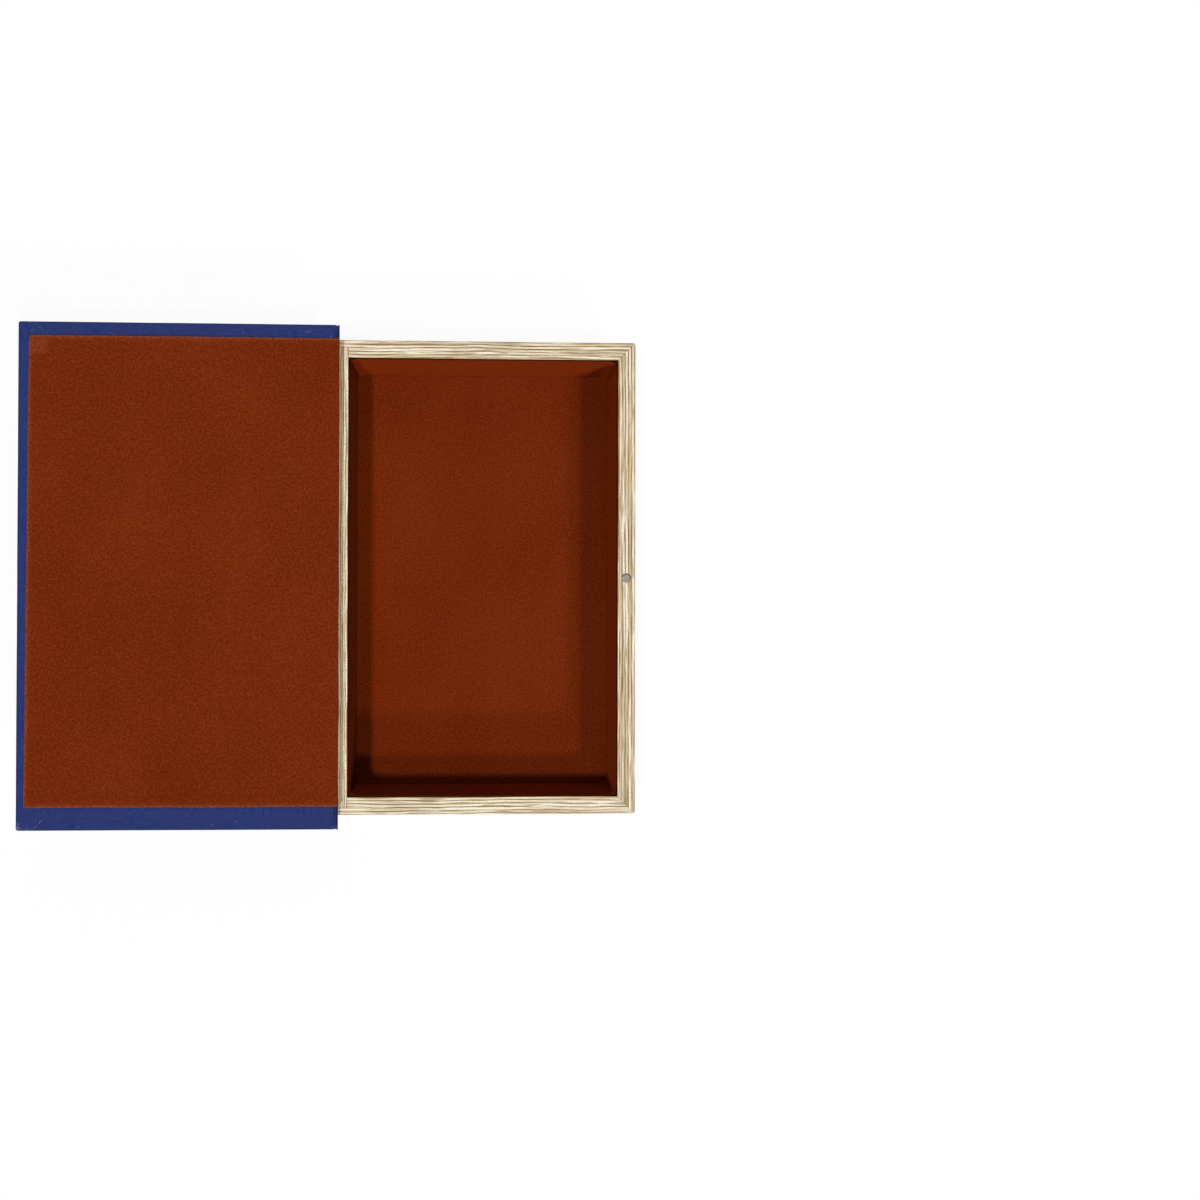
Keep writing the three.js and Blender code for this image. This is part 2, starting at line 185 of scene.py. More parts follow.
print("sums with a name:", [name for name in vars(Amount) if not name.startswith("_")])

# %% The floor
floor_half = 4000.0
floor_drop = 0.1
shadow_share = 0.1  # how much of the floor's own shading the camera sees, beside plain white
white = (1, 1, 1, 1)
pale_grey = (0.8, 0.8, 0.8, 1)


def new_piece(name, points, faces, material, smooth=False):
    """An object from points in millimetres and its faces."""
    mesh = bpy.data.meshes.new(name)
    mesh.from_pydata((np.asarray(points) * MM).tolist(), [], faces)
    mesh.polygons.foreach_set("use_smooth", [smooth] * len(mesh.polygons))
    mesh.materials.append(material)
    return add_object(name, mesh)


floor_finish = bpy.data.materials.new("white_floor")
tree, output = new_tree(floor_finish)
plain = add_node(tree, "BsdfDiffuse", {"Color": pale_grey})
bright = add_node(tree, "BsdfDiffuse", {"Color": white})
glow = add_node(tree, "Emission", {"Color": white, "Strength": 1.0})
shown = add_node(tree, "MixShader", {0: shadow_share, 1: glow.outputs[0], 2: bright.outputs[0]})
mixed = add_node(tree, "MixShader", {0: seen_directly(tree), 1: plain.outputs[0], 2: shown.outputs[0]})
tree.links.new(mixed.outputs[0], output.inputs[0])
floor_corners = [
    (x * floor_half, y * floor_half, -floor_drop) for x, y in ((-1, -1), (1, -1), (1, 1), (-1, 1))
]
new_piece("floor", floor_corners, [(0, 1, 2, 3)], floor_finish)
print("floor:", 2 * floor_half * MM, "m wide")

# %% The world
world_level = 0.05
world = bpy.data.worlds.new("white_room")
bpy.context.scene.world = world
tree, output = new_tree(world)
level = add_node(tree, "MapRange", {"Value": seen_directly(tree), "To Min": world_level, "To Max": 1.0})
room = add_node(tree, "Background", {"Color": white, "Strength": level.outputs[0]})
tree.links.new(room.outputs[0], output.inputs[0])
print("world level:", world_level)

# %% Lamps
lamp_disc = 6  # degrees
broad_disc = 45


def add_lamp(name, lean_x, lean_y, share, disc=lamp_disc):
    """A sun lamp that leans by the given run for each unit of height, with its share of the light."""
    lamp_data = bpy.data.lights.new(name, "SUN")
    lamp_data.angle = math.radians(disc)
    towards = Vector((lean_x, lean_y, 1.0)).normalized()
    lamp_data.energy = share * (1 - world_level) * math.pi / towards.z
    add_object(name, lamp_data).rotation_euler = towards.to_track_quat("Z", "Y").to_euler()
    print(name, "energy", round(lamp_data.energy, 2))


add_lamp("lamp_left", -0.25, -0.14, 0.47)
add_lamp("lamp_right", 0.43, -0.45, 0.25)
add_lamp("lamp_far_right", 0.62, -1.1, 0.18)
add_lamp("lamp_head", 0.1, 1.1, 0.1, broad_disc)
bpy.context.scene.view_settings.view_transform = "Standard"

# %% [markdown]
# ## Finishes
#
# Every finish is a small node recipe around one Principled shader. Pictures of cloth could be
# wrapped over the meshes instead, but a recipe has no seams, holds at any distance and takes its
# scale in millimetres from the object's own coordinates. Each mesh of cloth also carries a
# number called `rub`: high where use wears the colour off and where a paler
# colour is a painted highlight, and below nought where the colour is darkened as painted shade.

# %% The start and the end of every finish
def in_millimetres(coordinates):
    """Coordinates in metres made into millimetres."""
    inputs = {0: coordinates, "Scale": 1 / MM}
    return add_node(coordinates.id_data, "VectorMath", inputs, operation="SCALE").outputs[0]


def new_finish(name, roughness, **others):
    """A material, its Principled shader and the object's coordinates in millimetres."""
    material = bpy.data.materials.new(name)
    tree, output = new_tree(material)
    inputs = {words.replace("_", " "): value for words, value in others.items()}
    shader = add_node(tree, "BsdfPrincipled", {"Roughness": roughness, **inputs})
    tree.links.new(shader.outputs[0], output.inputs[0])
    return material, shader, in_millimetres(add_node(tree, "TexCoord").outputs["Object"])


def feed(shader, name, value):
    """Leads an amount or a colour to one input of a shader."""
    shader.id_data.links.new(getattr(value, "socket", value), shader.inputs[name])


def lay_on(shader, colour, height, depth):
    """Gives a finish its colour, and a bump from a height of 0 to 1 and a depth in millimetres."""
    bump = add_node(shader.id_data, "Bump", {"Height": height, "Distance": depth * MM, "Strength": 1.0})
    feed(shader, "Base Color", colour)
    feed(shader, "Normal", bump.outputs[0])


def rub_of(shader):
    """The wear and painted light stored at the mesh's points, and how far it is below 0, which is painted
    shade.
    """
    rub = Amount(add_node(shader.id_data, "Attribute", attribute_name="rub").outputs["Fac"])
    return rub, (rub * -1.0).at_least(0.0)


print("one unit of a finish's coordinates:", MM, "m")

# %% Patterns and colours
def stretched(coordinates, x, y, z):
    """Coordinates multiplied by three numbers, so that a pattern is longer one way than another."""
    inputs = {0: coordinates, 1: (x, y, z)}
    return add_node(coordinates.id_data, "VectorMath", inputs, operation="MULTIPLY").outputs[0]


def parts_of(coordinates):
    """The three numbers of a place."""
    split = add_node(coordinates.id_data, "SeparateXYZ", {0: coordinates})
    return [Amount(part) for part in split.outputs]


def place_from(x, y, z):
    """A place put together from an amount and two more numbers."""
    return add_node(x.tree, "CombineXYZ", {0: x, 1: y, 2: z}).outputs[0]


def grain(coordinates, scale, detail=2.0, roughness=0.5):
    """Soft noise between 0 and 1."""
    inputs = {"Vector": coordinates, "Scale": scale, "Detail": detail, "Roughness": roughness}
    return Amount(add_node(coordinates.id_data, "TexNoise", inputs).outputs["Fac"])


def ranged(amount, low, high, to_low=0.0, to_high=1.0):
    """An amount stretched from one range to another, with soft ends."""
    inputs = {"Value": amount, "From Min": low, "From Max": high, "To Min": to_low, "To Max": to_high}
    return Amount(add_node(amount.tree, "MapRange", inputs, interpolation_type="SMOOTHSTEP").outputs[0])


def blended(share, first, second):
    """Two colours mixed by a share."""
    return add_node(share.tree, "Mix", {0: share, 6: first, 7: second}, data_type="RGBA").outputs[2]


print("materials so far:", [material.name for material in bpy.data.materials])

# %% [markdown]
# ### Book cloth
#
# Book cloth is a starched plain weave of threads 0.4 mm apart, with a slub here and there. A
# weave could be modelled thread by thread, but at this size it would take millions of faces, so
# it is a height pattern: at each crossing the warp or the weft lies on top. The pattern runs in
# the cloth's flat coordinates, so it goes over the folds without a break.

# %% Book cloth
thread_pitch = 0.42  # millimetres
thread_wander = 1.1
faded_navy = srgb(128, 131, 168)


def book_cloth():
    """Navy cloth, faded and then bare where it is worn, flecked with glue on its turn-ins, and darkened
    round its inner folds as painted shade.
    """
    material, shader, _ = new_finish("navy_book_cloth", roughness=0.8, Specular_IOR_Level=0.25)
    tree = shader.id_data
    flat = in_millimetres(add_node(tree, "UVMap", uv_map="flat_cloth").outputs[0])
    wander = add_node(tree, "TexNoise", {"Vector": flat, "Scale": 0.5, "Detail": 3.0}).outputs["Color"]
    inputs = {0: wander, 1: (thread_wander, thread_wander, thread_wander), 2: flat}
    moved = add_node(tree, "VectorMath", inputs, operation="MULTIPLY_ADD").outputs[0]
    across, along = [(part * (math.pi / thread_pitch)).sine() for part in parts_of(moved)[:2]]
    warp_on_top = (across * along).above(0.0)
    weave = abs(across) * warp_on_top + abs(along) * (1.0 - warp_on_top)
    slubs = grain(stretched(flat, 0.12, 2.2, 1.0), 1.0) + grain(stretched(flat, 2.2, 0.12, 1.0), 1.0)
    dyed = blended(ranged(slubs, 0.8, 1.2), srgb(24, 41, 99), srgb(38, 57, 120))
    patches = ranged(grain(flat, 0.045, 3.0), 0.35, 0.65)
    clouded = blended(patches * 0.35, dyed, srgb(42, 48, 100))
    shaded = blended(ranged(weave, 0.0, 0.55, 0.3, 0.0), clouded, srgb(17, 24, 62))
    rub, painted_shade = rub_of(shader)
    glue_marks = ranged(grain(flat, 0.16), 0.67, 0.74, 0.0, 0.3)
    marked = blended(glue_marks * ranged(rub, 0.03, 0.04), shaded, faded_navy)
    scuffs = ranged(grain(flat, 0.8, 5.0, 0.7), 0.4, 0.65)
    worn = rub * 1.3 + scuffs * 0.5
    faded = blended(ranged(worn, 0.75, 1.6, 0.0, 0.85), marked, faded_navy)
    bare = blended(ranged(worn, 1.3, 1.75, 0.0, 0.8), faded, srgb(205, 204, 208))
    # painted shade: near-black navy where the cloth turns round its inner folds
    lay_on(shader, blended(painted_shade, bare, srgb(12, 15, 44)), weave + slubs * 0.6, depth=0.07)
    return material


navy = book_cloth()
print(navy.name, "with", len(navy.node_tree.nodes), "nodes")

# %% [markdown]
# ### Velvet
#
# The lining is a short rust-brown velvet. Hair could stand for its pile, but half a million
# hairs would tell no more at this distance than a soft shader does: full roughness, a sheen that
# lights up at grazing angles, a very fine bump for the tips of the pile, and broad patches where
# the pile was brushed one way or the other. Here `rub` is high where the pile
# is worn and along the panel's edges, where the paler colour is a painted highlight. Below nought
# the colour is darkened as painted shade, on every cut edge and over the darker linings of the
# tray. The tray's linings also get lit and shaded copies of the velvet, with more or less sheen.

# %% Velvet
def velvet(name, sheen_weight):
    """Velvet with a given sheen; copies with more or less sheen are painted light on the tray's linings.
    """
    material, shader, place = new_finish(
        name, roughness=1.0, Specular_IOR_Level=0.0,
        Sheen_Weight=sheen_weight, Sheen_Roughness=0.45, Sheen_Tint=srgb(196, 76, 24),
    )
    pile = grain(place, 2.0, 3.0, 0.65)
    brushed = grain(stretched(place, 0.02, 0.012, 0.02), 1.0)
    mottled = grain(place, 0.85, 4.0, 0.6)
    dyed = blended(
        ranged(brushed * 0.2 + mottled * 0.8, 0.4, 0.6), srgb(112, 38, 9), srgb(134, 54, 21)
    )
    tips = blended(ranged(pile, 0.35, 0.65, 0.0, 0.6), dyed, srgb(92, 30, 6))
    # below nought: painted shade, a near-black brown on the cut edges and over the tray's darker linings
    rub, glue = rub_of(shader)
    # paler pile: wear in a rubbed corner, and a painted highlight along the panel's edges
    wear_and_highlight = rub.at_least(0.0) * ranged(mottled, 0.3, 0.6, 0.35, 1.0)
    paled = blended(wear_and_highlight, tips, srgb(168, 100, 68))
    lay_on(shader, blended(glue, paled, srgb(22, 5, 2)), pile, depth=0.16)
    return material


rust = velvet("rust_velvet", sheen_weight=0.48)
print(rust.name, "with", len(rust.node_tree.nodes), "nodes")

# %% [markdown]
# ### Page-edge paper
#
# The tray wears a cream paper printed with fine brown lines, so that its sides look like the
# edges of pages. Straight stripes would look ruled. Noise that is stretched a hundred times
# longer along the wall than across it gives lines that swell, waver and run out, as the printed
# ones do. The coordinate across the wall unfolds over the rim, so the lines go on down outside.
# The rail beside the hinge has finer lines than the other three, and lighter, warmer shades, painted light
# against the shade of the open cover.

# %% Page-edge paper
rim_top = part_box("head_paper")[1].z / MM
line_pitch = 1.75  # millimetres from one brown line to the next
fine_pitch = 1.25
# the paper's shades from low to high, then its thin lines and its broad ones
aged_paper = (srgb(208, 187, 147), srgb(255, 244, 219), srgb(158, 128, 80), srgb(115, 81, 35))
# painted light: lighter and warmer paper for the rail that the open cover shades
lightened_paper = (srgb(228, 203, 161), srgb(255, 243, 214), srgb(176, 141, 92), srgb(138, 98, 48))


def page_edges(name, across, reach, sway_reach, pitch=line_pitch, speckle=0.3, tones=aged_paper):
    """Lined paper; across is the coordinate that crosses the rail, and reach sets its lines apart."""
    low, high, thin, broad_line = tones
    material, shader, place = new_finish(name, roughness=0.62, Specular_IOR_Level=0.25)
    parts = parts_of(place)
    along = parts[1 - across]
    unfolded = abs(parts[across]) + (rim_top - parts[2]) + reach
    spot = place_from(along, unfolded, reach)
    sway = grain(stretched(spot, 0.02, 0.06, 1.0), 1.0, 1.0)
    waver = grain(stretched(spot, 0.05, 0.3, 1.0), 1.0)
    bent = unfolded + (sway * sway_reach + waver * 0.8)
    ridge = abs((bent * (math.pi / pitch)).sine())
    lined = place_from(along * 0.014, bent, reach)
    breaks = grain(stretched(lined, 2.5, 0.5, 1.0), 1.0)
    line = ranged(ridge, 0.14, 0.68, 1.0, 0.0) * ranged(breaks, 0.34, 0.54, 0.2, 1.0)
    broad = grain(lined, 0.75)
    hair = grain(stretched(lined, 2.0, 1.0, 1.0), 2.2, 1.0)
    dots = grain(stretched(spot, 0.8, 2.2, 1.0), 1.0)
    fine = ranged(hair, 0.38, 0.5, 0.75, 0.0).at_least(ranged(dots, 0.5, 0.64, 0.0, speckle))
    cream = blended(ranged(broad, 0.38, 0.58), low, high)
    tan = blended(fine, cream, thin)
    lay_on(shader, blended(line * 0.95, tan, broad_line), broad - line, depth=0.12)
    return material


page_finishes = {
    # each rail: the coordinate that crosses it, its stretch of the pattern, how far its lines sway
    "head_paper": page_edges("page_edges_head", 1, 3.0, 2.6),
    "tail_paper": page_edges("page_edges_tail", 1, 47.0, 3.4),
    "fore_edge_paper": page_edges("page_edges_fore", 0, 91.0, 1.8),
    "spine_side_paper": page_edges("page_edges_spine", 0, 135.0, 2.0, fine_pitch, 0.7, lightened_paper),
}
print("rim of the tray at", round(rim_top, 2), "mm")

# %% [markdown]
# ### Boards, magnet and foil
#
# The boards and the tray's wood hardly show, but they are seen wherever a piece is lifted off,
# so they get their own fibres and flecks. The magnet is dull plated steel with a fine grain.
# The design on the cover is a cream foil, pressed into the cloth so far that it is as uneven as
# the weave.

# %% Boards, magnet and foil
def pressed_board(name, dark, light, scale):
    """Board of pressed fibres: long faint flecks in two tones."""
    material, shader, place = new_finish(name, roughness=0.9, Specular_IOR_Level=0.2)
    flecks = grain(stretched(place, 1.0, 0.3, 1.0), scale, 4.0, 0.65)
    lay_on(shader, blended(ranged(flecks, 0.35, 0.65), dark, light), flecks, depth=0.05)
    return material


def plated_steel():
    """Dull steel with a fine grain and a few duller spots."""
    material, shader, place = new_finish("plated_steel", roughness=0.45, Metallic=0.5)
    spots = ranged(grain(place, 1.2, 4.0), 0.4, 0.65)
    feed(shader, "Roughness", ranged(spots, 0.0, 1.0, 0.3, 0.5))
    lay_on(shader, blended(spots, srgb(112, 110, 98), srgb(134, 131, 117)), grain(place, 4.0), depth=0.01)
    return material


def cream_foil():
    """Matt cream foil, slightly patchy, and uneven where the weave pushes through."""
    material, shader, place = new_finish("cream_foil", roughness=0.6, Specular_IOR_Level=0.3)
    patches = ranged(grain(place, 0.5, 4.0, 0.7), 0.3, 0.7)
    colour = blended(patches, srgb(220, 207, 182), srgb(238, 228, 210))
    lay_on(shader, colour, grain(place, 2.4, 1.0), depth=0.05)
    return material


fibreboard = pressed_board("fibreboard", srgb(150, 118, 78), srgb(184, 152, 110), scale=1.2)
grey_board = pressed_board("grey_board", srgb(140, 136, 128), srgb(168, 164, 156), scale=0.9)
steel = plated_steel()
foil = cream_foil()
print("finishes:", [finish.name for finish in (fibreboard, grey_board, steel, foil)])

# %% Give the kept pieces their finishes
tray_wood = ("tray_base", "head_wall", "tail_wall", "fore_edge_wall", "spine_side_wall")
kept_finishes = {
    **page_finishes,
    **dict.fromkeys(("front_board", "spine_board", "back_board"), grey_board),
    **dict.fromkeys(tray_wood, fibreboard),
    "cover_disc": steel,
}
for name, finish in kept_finishes.items():
    nodes[name].data.materials.clear()
    nodes[name].data.materials.append(finish)
print("kept pieces with a finish:", len(kept_finishes))

# %% [markdown]
# ## Meshes of cloth
#
# Every soft piece here is a sheet glued to something flat: a face, and a border that goes round
# an edge. Cloth simulation suits cloth that hangs or is stuffed. Glued cloth takes the form of
# its board, so it is built as one grid of quads for the face and a row of rings for the border.
# The rings follow the fold, and each corner of the grid is squeezed onto a round corner.

# %% A grid over a rectangle with round corners
corner_steps = 3


def line_places(low, high, radius, middle_steps):
    """Grid lines along one side: close together at its ends, where folds and wear need them."""
    corner = radius * np.arange(corner_steps) / corner_steps
    share = (1 - np.cos(np.linspace(0, math.pi, middle_steps + 1))) / 2
    middle = low + radius + (high - low - 2 * radius) * share
    return np.concatenate([low + corner, middle, (high - corner)[::-1]])


def rounded_grid(low, high, radius, steps):
    """Plan points, as columns by rows by 2, over a rectangle with round corners."""
    low, high = np.array(low), np.array(high)
    sides = [line_places(low[side], high[side], radius, steps[side]) for side in (0, 1)]
    grid = np.stack(np.meshgrid(*sides, indexing="ij"), -1)
    core = np.clip(grid, low + radius, high - radius)
    out = grid - core
    longest = np.abs(out).max(-1, keepdims=True)
    length = np.linalg.norm(out, axis=-1, keepdims=True)
    return core + out * longest / np.maximum(length, 1e-9)


print("points on a 10 x 10 grid:", rounded_grid((0, 0), (1, 1), 0.1, (10, 10)).shape)

# %% Rings round a grid, and the quads between them
def at_height(plan, height):
    """Plan points with a height beside them."""
    return np.concatenate([plan, np.full((*plan.shape[:-1], 1), height)], -1)


def border_of(grid):
    """A grid's border in walking order."""
    return np.concatenate([grid[:-1, 0], grid[-1, :-1], grid[:0:-1, -1], grid[0, :0:-1]])


def numbered(columns, rows, start=0):
    """The numbers of a grid's points."""
    return start + np.arange(columns * rows).reshape(columns, rows)


def quads_of(index):
    """The quads of a grid of point numbers."""
    sides = [index[:-1, :-1], index[1:, :-1], index[1:, 1:], index[:-1, 1:]]
    return np.stack(sides, -1).reshape(-1, 4)


def skirted(face, rings, closing=None):
    """Points and quads of a face grid, the rings round its border and perhaps a grid that closes it."""
    index = numbered(*face.shape[:2])
    points = [face.reshape(-1, 3)]
    quads = [quads_of(index)]
    border = border_of(index)
    count = index.size
    for ring in rings:
        following = count + np.arange(len(ring))
        count += len(ring)
        points.append(ring)
        quads.append(np.stack([border, following, np.roll(following, -1), np.roll(border, -1)], 1))
        border = following
    if closing is not None:
        back = np.zeros_like(index)
        back.flat[border_of(index)] = border
        inside = closing[1:-1, 1:-1]
        back[1:-1, 1:-1] = numbered(*inside.shape[:2], count)
        points.append(inside.reshape(-1, 3))
        quads.append(quads_of(back)[:, ::-1])
    return np.concatenate(points), np.concatenate(quads)


def quarter_bend(*degrees):
    """For angles of a quarter circle: the shares still to go one way and already gone the other."""
    turns = np.radians(degrees)
    return list(zip(1 - np.sin(turns), 1 - np.cos(turns)))


print("halfway round a bend:", np.round(quarter_bend(45), 3))

# %% Turning points and quads into a piece
def uneven(points, amount, wavelength, seed):
    """Points moved by smooth noise, as hand-laid cloth is never quite flat."""
    shift = Vector((seed * 7.3, seed * 3.1, seed * 5.7))
    moves = [noise.noise_vector(Vector(p) / wavelength + shift) for p in points]
    return points + amount * np.array([tuple(m) for m in moves])


def cloth_piece(name, points, quads, material, rub, flat=None):
    """A smooth piece with its rub and, for woven cloth, its flat coordinates."""
    piece = new_piece(name, points, quads.tolist(), material, smooth=True)
    mesh = piece.data
    if flat is not None:
        corners = np.zeros(len(mesh.loops), int)
        mesh.loops.foreach_get("vertex_index", corners)
        layer = mesh.uv_layers.new(name="flat_cloth")
        layer.data.foreach_set("uv", (flat[corners] * MM).ravel())
    mesh.attributes.new("rub", "FLOAT", "POINT").data.foreach_set("value", rub)
    return piece


def thicken(piece, thickness):
    """Gives an open sheet its thickness, away from the side that its faces point to."""
    solid = piece.modifiers.new("thickness", "SOLIDIFY")
    solid.thickness = thickness * MM
    solid.offset = -1
    solid.use_rim = True
    return piece


fore, head, up = np.eye(3)  # directions: from the spine to the fore edge, to the head, upwards


def to_world(local, origin, axes):
    """Local points placed at an origin along three directions."""
    return np.array(origin) + local @ np.array(axes)


def facing(quads, axes):
    """Quads turned over where the three directions mirror the piece."""
    return quads[:, ::-1] if np.linalg.det(np.array(axes)) < 0 else quads


print("to the head:", head)

# %% Fitting a piece to the frame
def box_of(node):
    """The low and the high corner of a node's box, in millimetres."""
    return [np.array(corner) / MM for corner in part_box(node)]


def seat(piece, body, slot_name, *replaced):
    """Puts a piece on the body that it rides on and hides the pieces that it stands for. slot_name is not
    used.
    """
    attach(piece, body)
    if replaced:
        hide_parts(*replaced)
    return piece


front_low, front_high = box_of("front_cloth")
back_low, back_high = box_of("back_cloth")
cover_width, cover_length, cover_thickness = front_high - front_low
print("cover", np.round([cover_width, cover_length, cover_thickness], 2), "mm")

# %% [markdown]
# ## Cloth of the covers
#
# Each cover is a board with cloth drawn over its outer face and turned in by 18 mm at the head,
# the tail and the fore edge. At a fore-edge corner the two turn-ins meet on the slant. A box
# with a bevel would have the right outline, but no folds. Here the rings go from the outer face
# round the board's edge and in over the inner face, with a different reach on the spine side,
# where the cloth goes on into the joint. Where it turns in over the inner edge, its colour is
# darkened as painted shade. The fore-edge turn-in was folded last, so it lies as a thin layer of
# its own over the others, and its slanted ends show as pale lines, worn and with a painted highlight.

# %% The rings of a cover's cloth
cloth = 0.45
fold_radius = 0.75
cover_corner = 1.4
tight_corner = 0.12  # radius of the inner rings at their corners
turn_in = 18.0
spine_side_reach = 1.0
flap_rise = 0.2
inner_face = cover_thickness - flap_rise
edge_rub, side_rub, inner_rub = 0.3, 0.12, 0.04
# painted shade: the cloth darkens where it turns in over the inner edge
painted_shade_of_bend = (-0.5, -0.6, -0.5, -0.1)  # where the cloth turns in over the inner edge


def cover_rings():
    """How far each ring stands in from the cover's outline, how deep it lies, and how worn it is; below
    nought it is darkened as painted shade.
    """
    outer = quarter_bend(30, 60, 90)
    rings = [(fold_radius * near, fold_radius * far, edge_rub) for near, far in outer]
    rings.append((0.0, cover_thickness / 2, side_rub))
    for (near, far), painted_shade in zip(quarter_bend(0, 30, 60, 90), painted_shade_of_bend):
        rings.append((fold_radius * far, inner_face - fold_radius * near, painted_shade))
    insets = (1.4, 2.5, *range(4, 18, 2), turn_in)
    return rings + [(inset, inner_face, inner_rub) for inset in insets]


print("rings round a cover:", len(cover_rings()))

# %% Wear along a cover's edge, and a painted highlight where the seams leave it
seam_start = 8.5  # from the corner to where the slanted seam leaves the edge
tail_corner_wear, head_corner_wear, seam_end_wear_and_highlight = 1.68, 0.84, 2.1
corner_fade, seam_fade = 2.5, 2.2  # how far the wear reaches


def edge_wear_and_highlight(plan):
    """Wear of the folded edge at the corners, most at the tail, and a pale mark where the seams leave it,
    worn and with a painted highlight.
    """
    from_end = np.minimum(plan[:, 1], cover_length - plan[:, 1])
    corner_gap = from_end + np.minimum(plan[:, 0], cover_width - plan[:, 0])
    seam_gap = from_end + np.abs(cover_width - plan[:, 0] - seam_start + 1)
    at_corner = np.where(plan[:, 1] < cover_length / 2, tail_corner_wear, head_corner_wear)
    at_seam = seam_end_wear_and_highlight * np.exp(-((seam_gap / seam_fade) ** 2))
    return at_corner * np.exp(-corner_gap / corner_fade) + at_seam


print("wear at a tail corner:", edge_wear_and_highlight(np.zeros((1, 2)))[0])

# %% The cloth over a cover
cover_steps = (28, 44)
worn_ring = 2.0  # the rings nearer to the outline than this one get the edge's wear
laid = {"amount": 0.05, "wavelength": 22.0}  # how uneven the glued cloth lies


def cover_cloth(name, axes, origin, seed):
    """Cloth of one cover, in local p from spine to fore edge, q from tail to head, h outwards."""
    start = np.array([fold_radius, fold_radius])
    end = np.array([cover_width, cover_length]) - fold_radius
    face = rounded_grid(start, end, cover_corner - fold_radius, cover_steps)
    border = border_of(face)
    middle = np.clip(border, start + cover_corner, end - cover_corner)
    outwards = (border - middle) / np.linalg.norm(border - middle, axis=1, keepdims=True)
    rings = []
    flat = [face.reshape(-1, 2)]  # the weave goes on past the face, as far as the cloth has come
    rub = [np.zeros(face.shape[0] * face.shape[1])]
    travelled, last = 0.0, (fold_radius, 0.0)
    for inset, depth, worn in cover_rings():
        travelled += math.dist(last, (inset, depth))
        last = (inset, depth)
        low = (min(inset, spine_side_reach), inset)
        high = (cover_width - inset, cover_length - inset)
        radius = max(cover_corner - inset, tight_corner)
        plan = border_of(rounded_grid(low, high, radius, cover_steps))
        rings.append(at_height(plan, -depth))
        flat.append(border + outwards * travelled)
        # a ring's value below nought is painted shade, not wear
        rub.append(np.clip(worn + edge_wear_and_highlight(plan) * (inset < worn_ring), -1, 1))
    local, quads = skirted(at_height(face, 0.0), rings)
    points = to_world(uneven(local, seed=seed, **laid), origin, axes)
    flat, rub = np.concatenate(flat), np.concatenate(rub)
    return thicken(cloth_piece(name, points, facing(quads, axes), navy, rub, flat), cloth)


print("a cover's face has", math.prod(steps + 1 + 2 * corner_steps for steps in cover_steps), "points")

# %% The fore-edge turn-in, a layer of its own
flap_start = 0.9  # from the cover's outline to the turn-in's outer edge
flap_swell = 2.2  # the run over which it rises to its full thickness
flap_lines = (flap_start, 1.5, 2.5, 4, 6, 8, seam_start, 9, 10, 12, 14, 16, 17.4)
flap_ends = np.array([0, 0.002, 0.006, 0.012])  # shares of its length, close together at an end
flap_overlap = 0.01
seam_rub, seam_width = 0.84, 0.5
tail_flap_rub, head_flap_rub, flap_fade = 1.05, 0.55, 4.0


def fore_edge_flap(name, axes, origin, seed):
    """The fore-edge turn-in, with slanted and worn ends."""
    across = np.array(flap_lines)[:, None]
    along = np.concatenate([flap_ends, np.linspace(0.02, 0.98, 41), (1 - flap_ends)[::-1]])
    slant = np.maximum(across - seam_start, flap_start)
    p = cover_width - across + 0 * along  # 0 * along makes a grid of it
    q = slant + (cover_length - 2 * slant) * along
    end_gap = np.minimum(q, cover_length - q) - flap_start
    on_seam = (across > seam_start + 0.4) + 0 * along
    swell = np.maximum(np.clip(end_gap / flap_swell, 0, 1), on_seam)
    swell = swell * np.clip((across - flap_start) / flap_swell, 0, 1)
    local = np.stack([p, q, -inner_face - flap_rise * swell - flap_overlap], -1).reshape(-1, 3)
    edge = np.exp(-np.minimum(q - slant, cover_length - slant - q) / seam_width)
    # paler along the slanted seam: wear and a painted highlight
    seam = seam_rub * edge * np.clip((across - seam_start + 1) / 2, 0, 1)
    most = np.where(q < cover_length / 2, tail_flap_rub, head_flap_rub)
    corner = most * np.exp(-(across - flap_start + end_gap) / flap_fade)
    rub = np.clip(np.maximum(seam, corner), 0, 1).ravel()
    points = to_world(uneven(local, seed=seed, **laid), origin, axes)
    quads = facing(quads_of(numbered(*p.shape)), axes)
    return thicken(cloth_piece(name, points, quads, navy, rub, local[:, :2]), flap_rise)


print("turn-in:", flap_lines[-1] - flap_start, "mm wide")

# %% Cover both boards
covers = (
    # side, body, the directions of p, q and h, the corner at the spine and the tail
    ("front", "cover", (-fore, head, -up), (front_high[0], front_low[1], front_low[2])),
    ("back", "box", (fore, head, -up), (-back_high[0], back_low[1], back_low[2])),
)
for seed, (side, body, axes, origin) in enumerate(covers, 1):
    piece = cover_cloth(side + "_cover_cloth", axes, origin, seed)
    seat(piece, body, "book_cloth", side + "_cloth")
    flap = fore_edge_flap(side + "_fore_edge_turn_in", axes, origin, seed)
    seat(flap, body, "book_cloth")

# %% [markdown]
# ## Spine and joints
#
# The spine is a rounded board. Its cloth goes over it like the skin of a drum and turns in at
# the head and tail, where it dips a little between two small ears. A bent plate would show sharp
# ends, so the section is swept along the spine and then drawn in over both ends, as the fingers
# of a binder do it.

# %% The spine's section
spine_low, spine_high = box_of("spine_cloth")
spine_bulge = 2.0
spine_ease = 1.75  # radius of its two long edges
spine_inner = spine_high[0] - 0.5
spine_middle = (spine_low[2] + spine_high[2]) / 2
spine_half = (spine_high[2] - spine_low[2]) / 2
spine_radius = (spine_half**2 + spine_bulge**2) / (2 * spine_bulge)
arc_centre = spine_low[0] + spine_radius


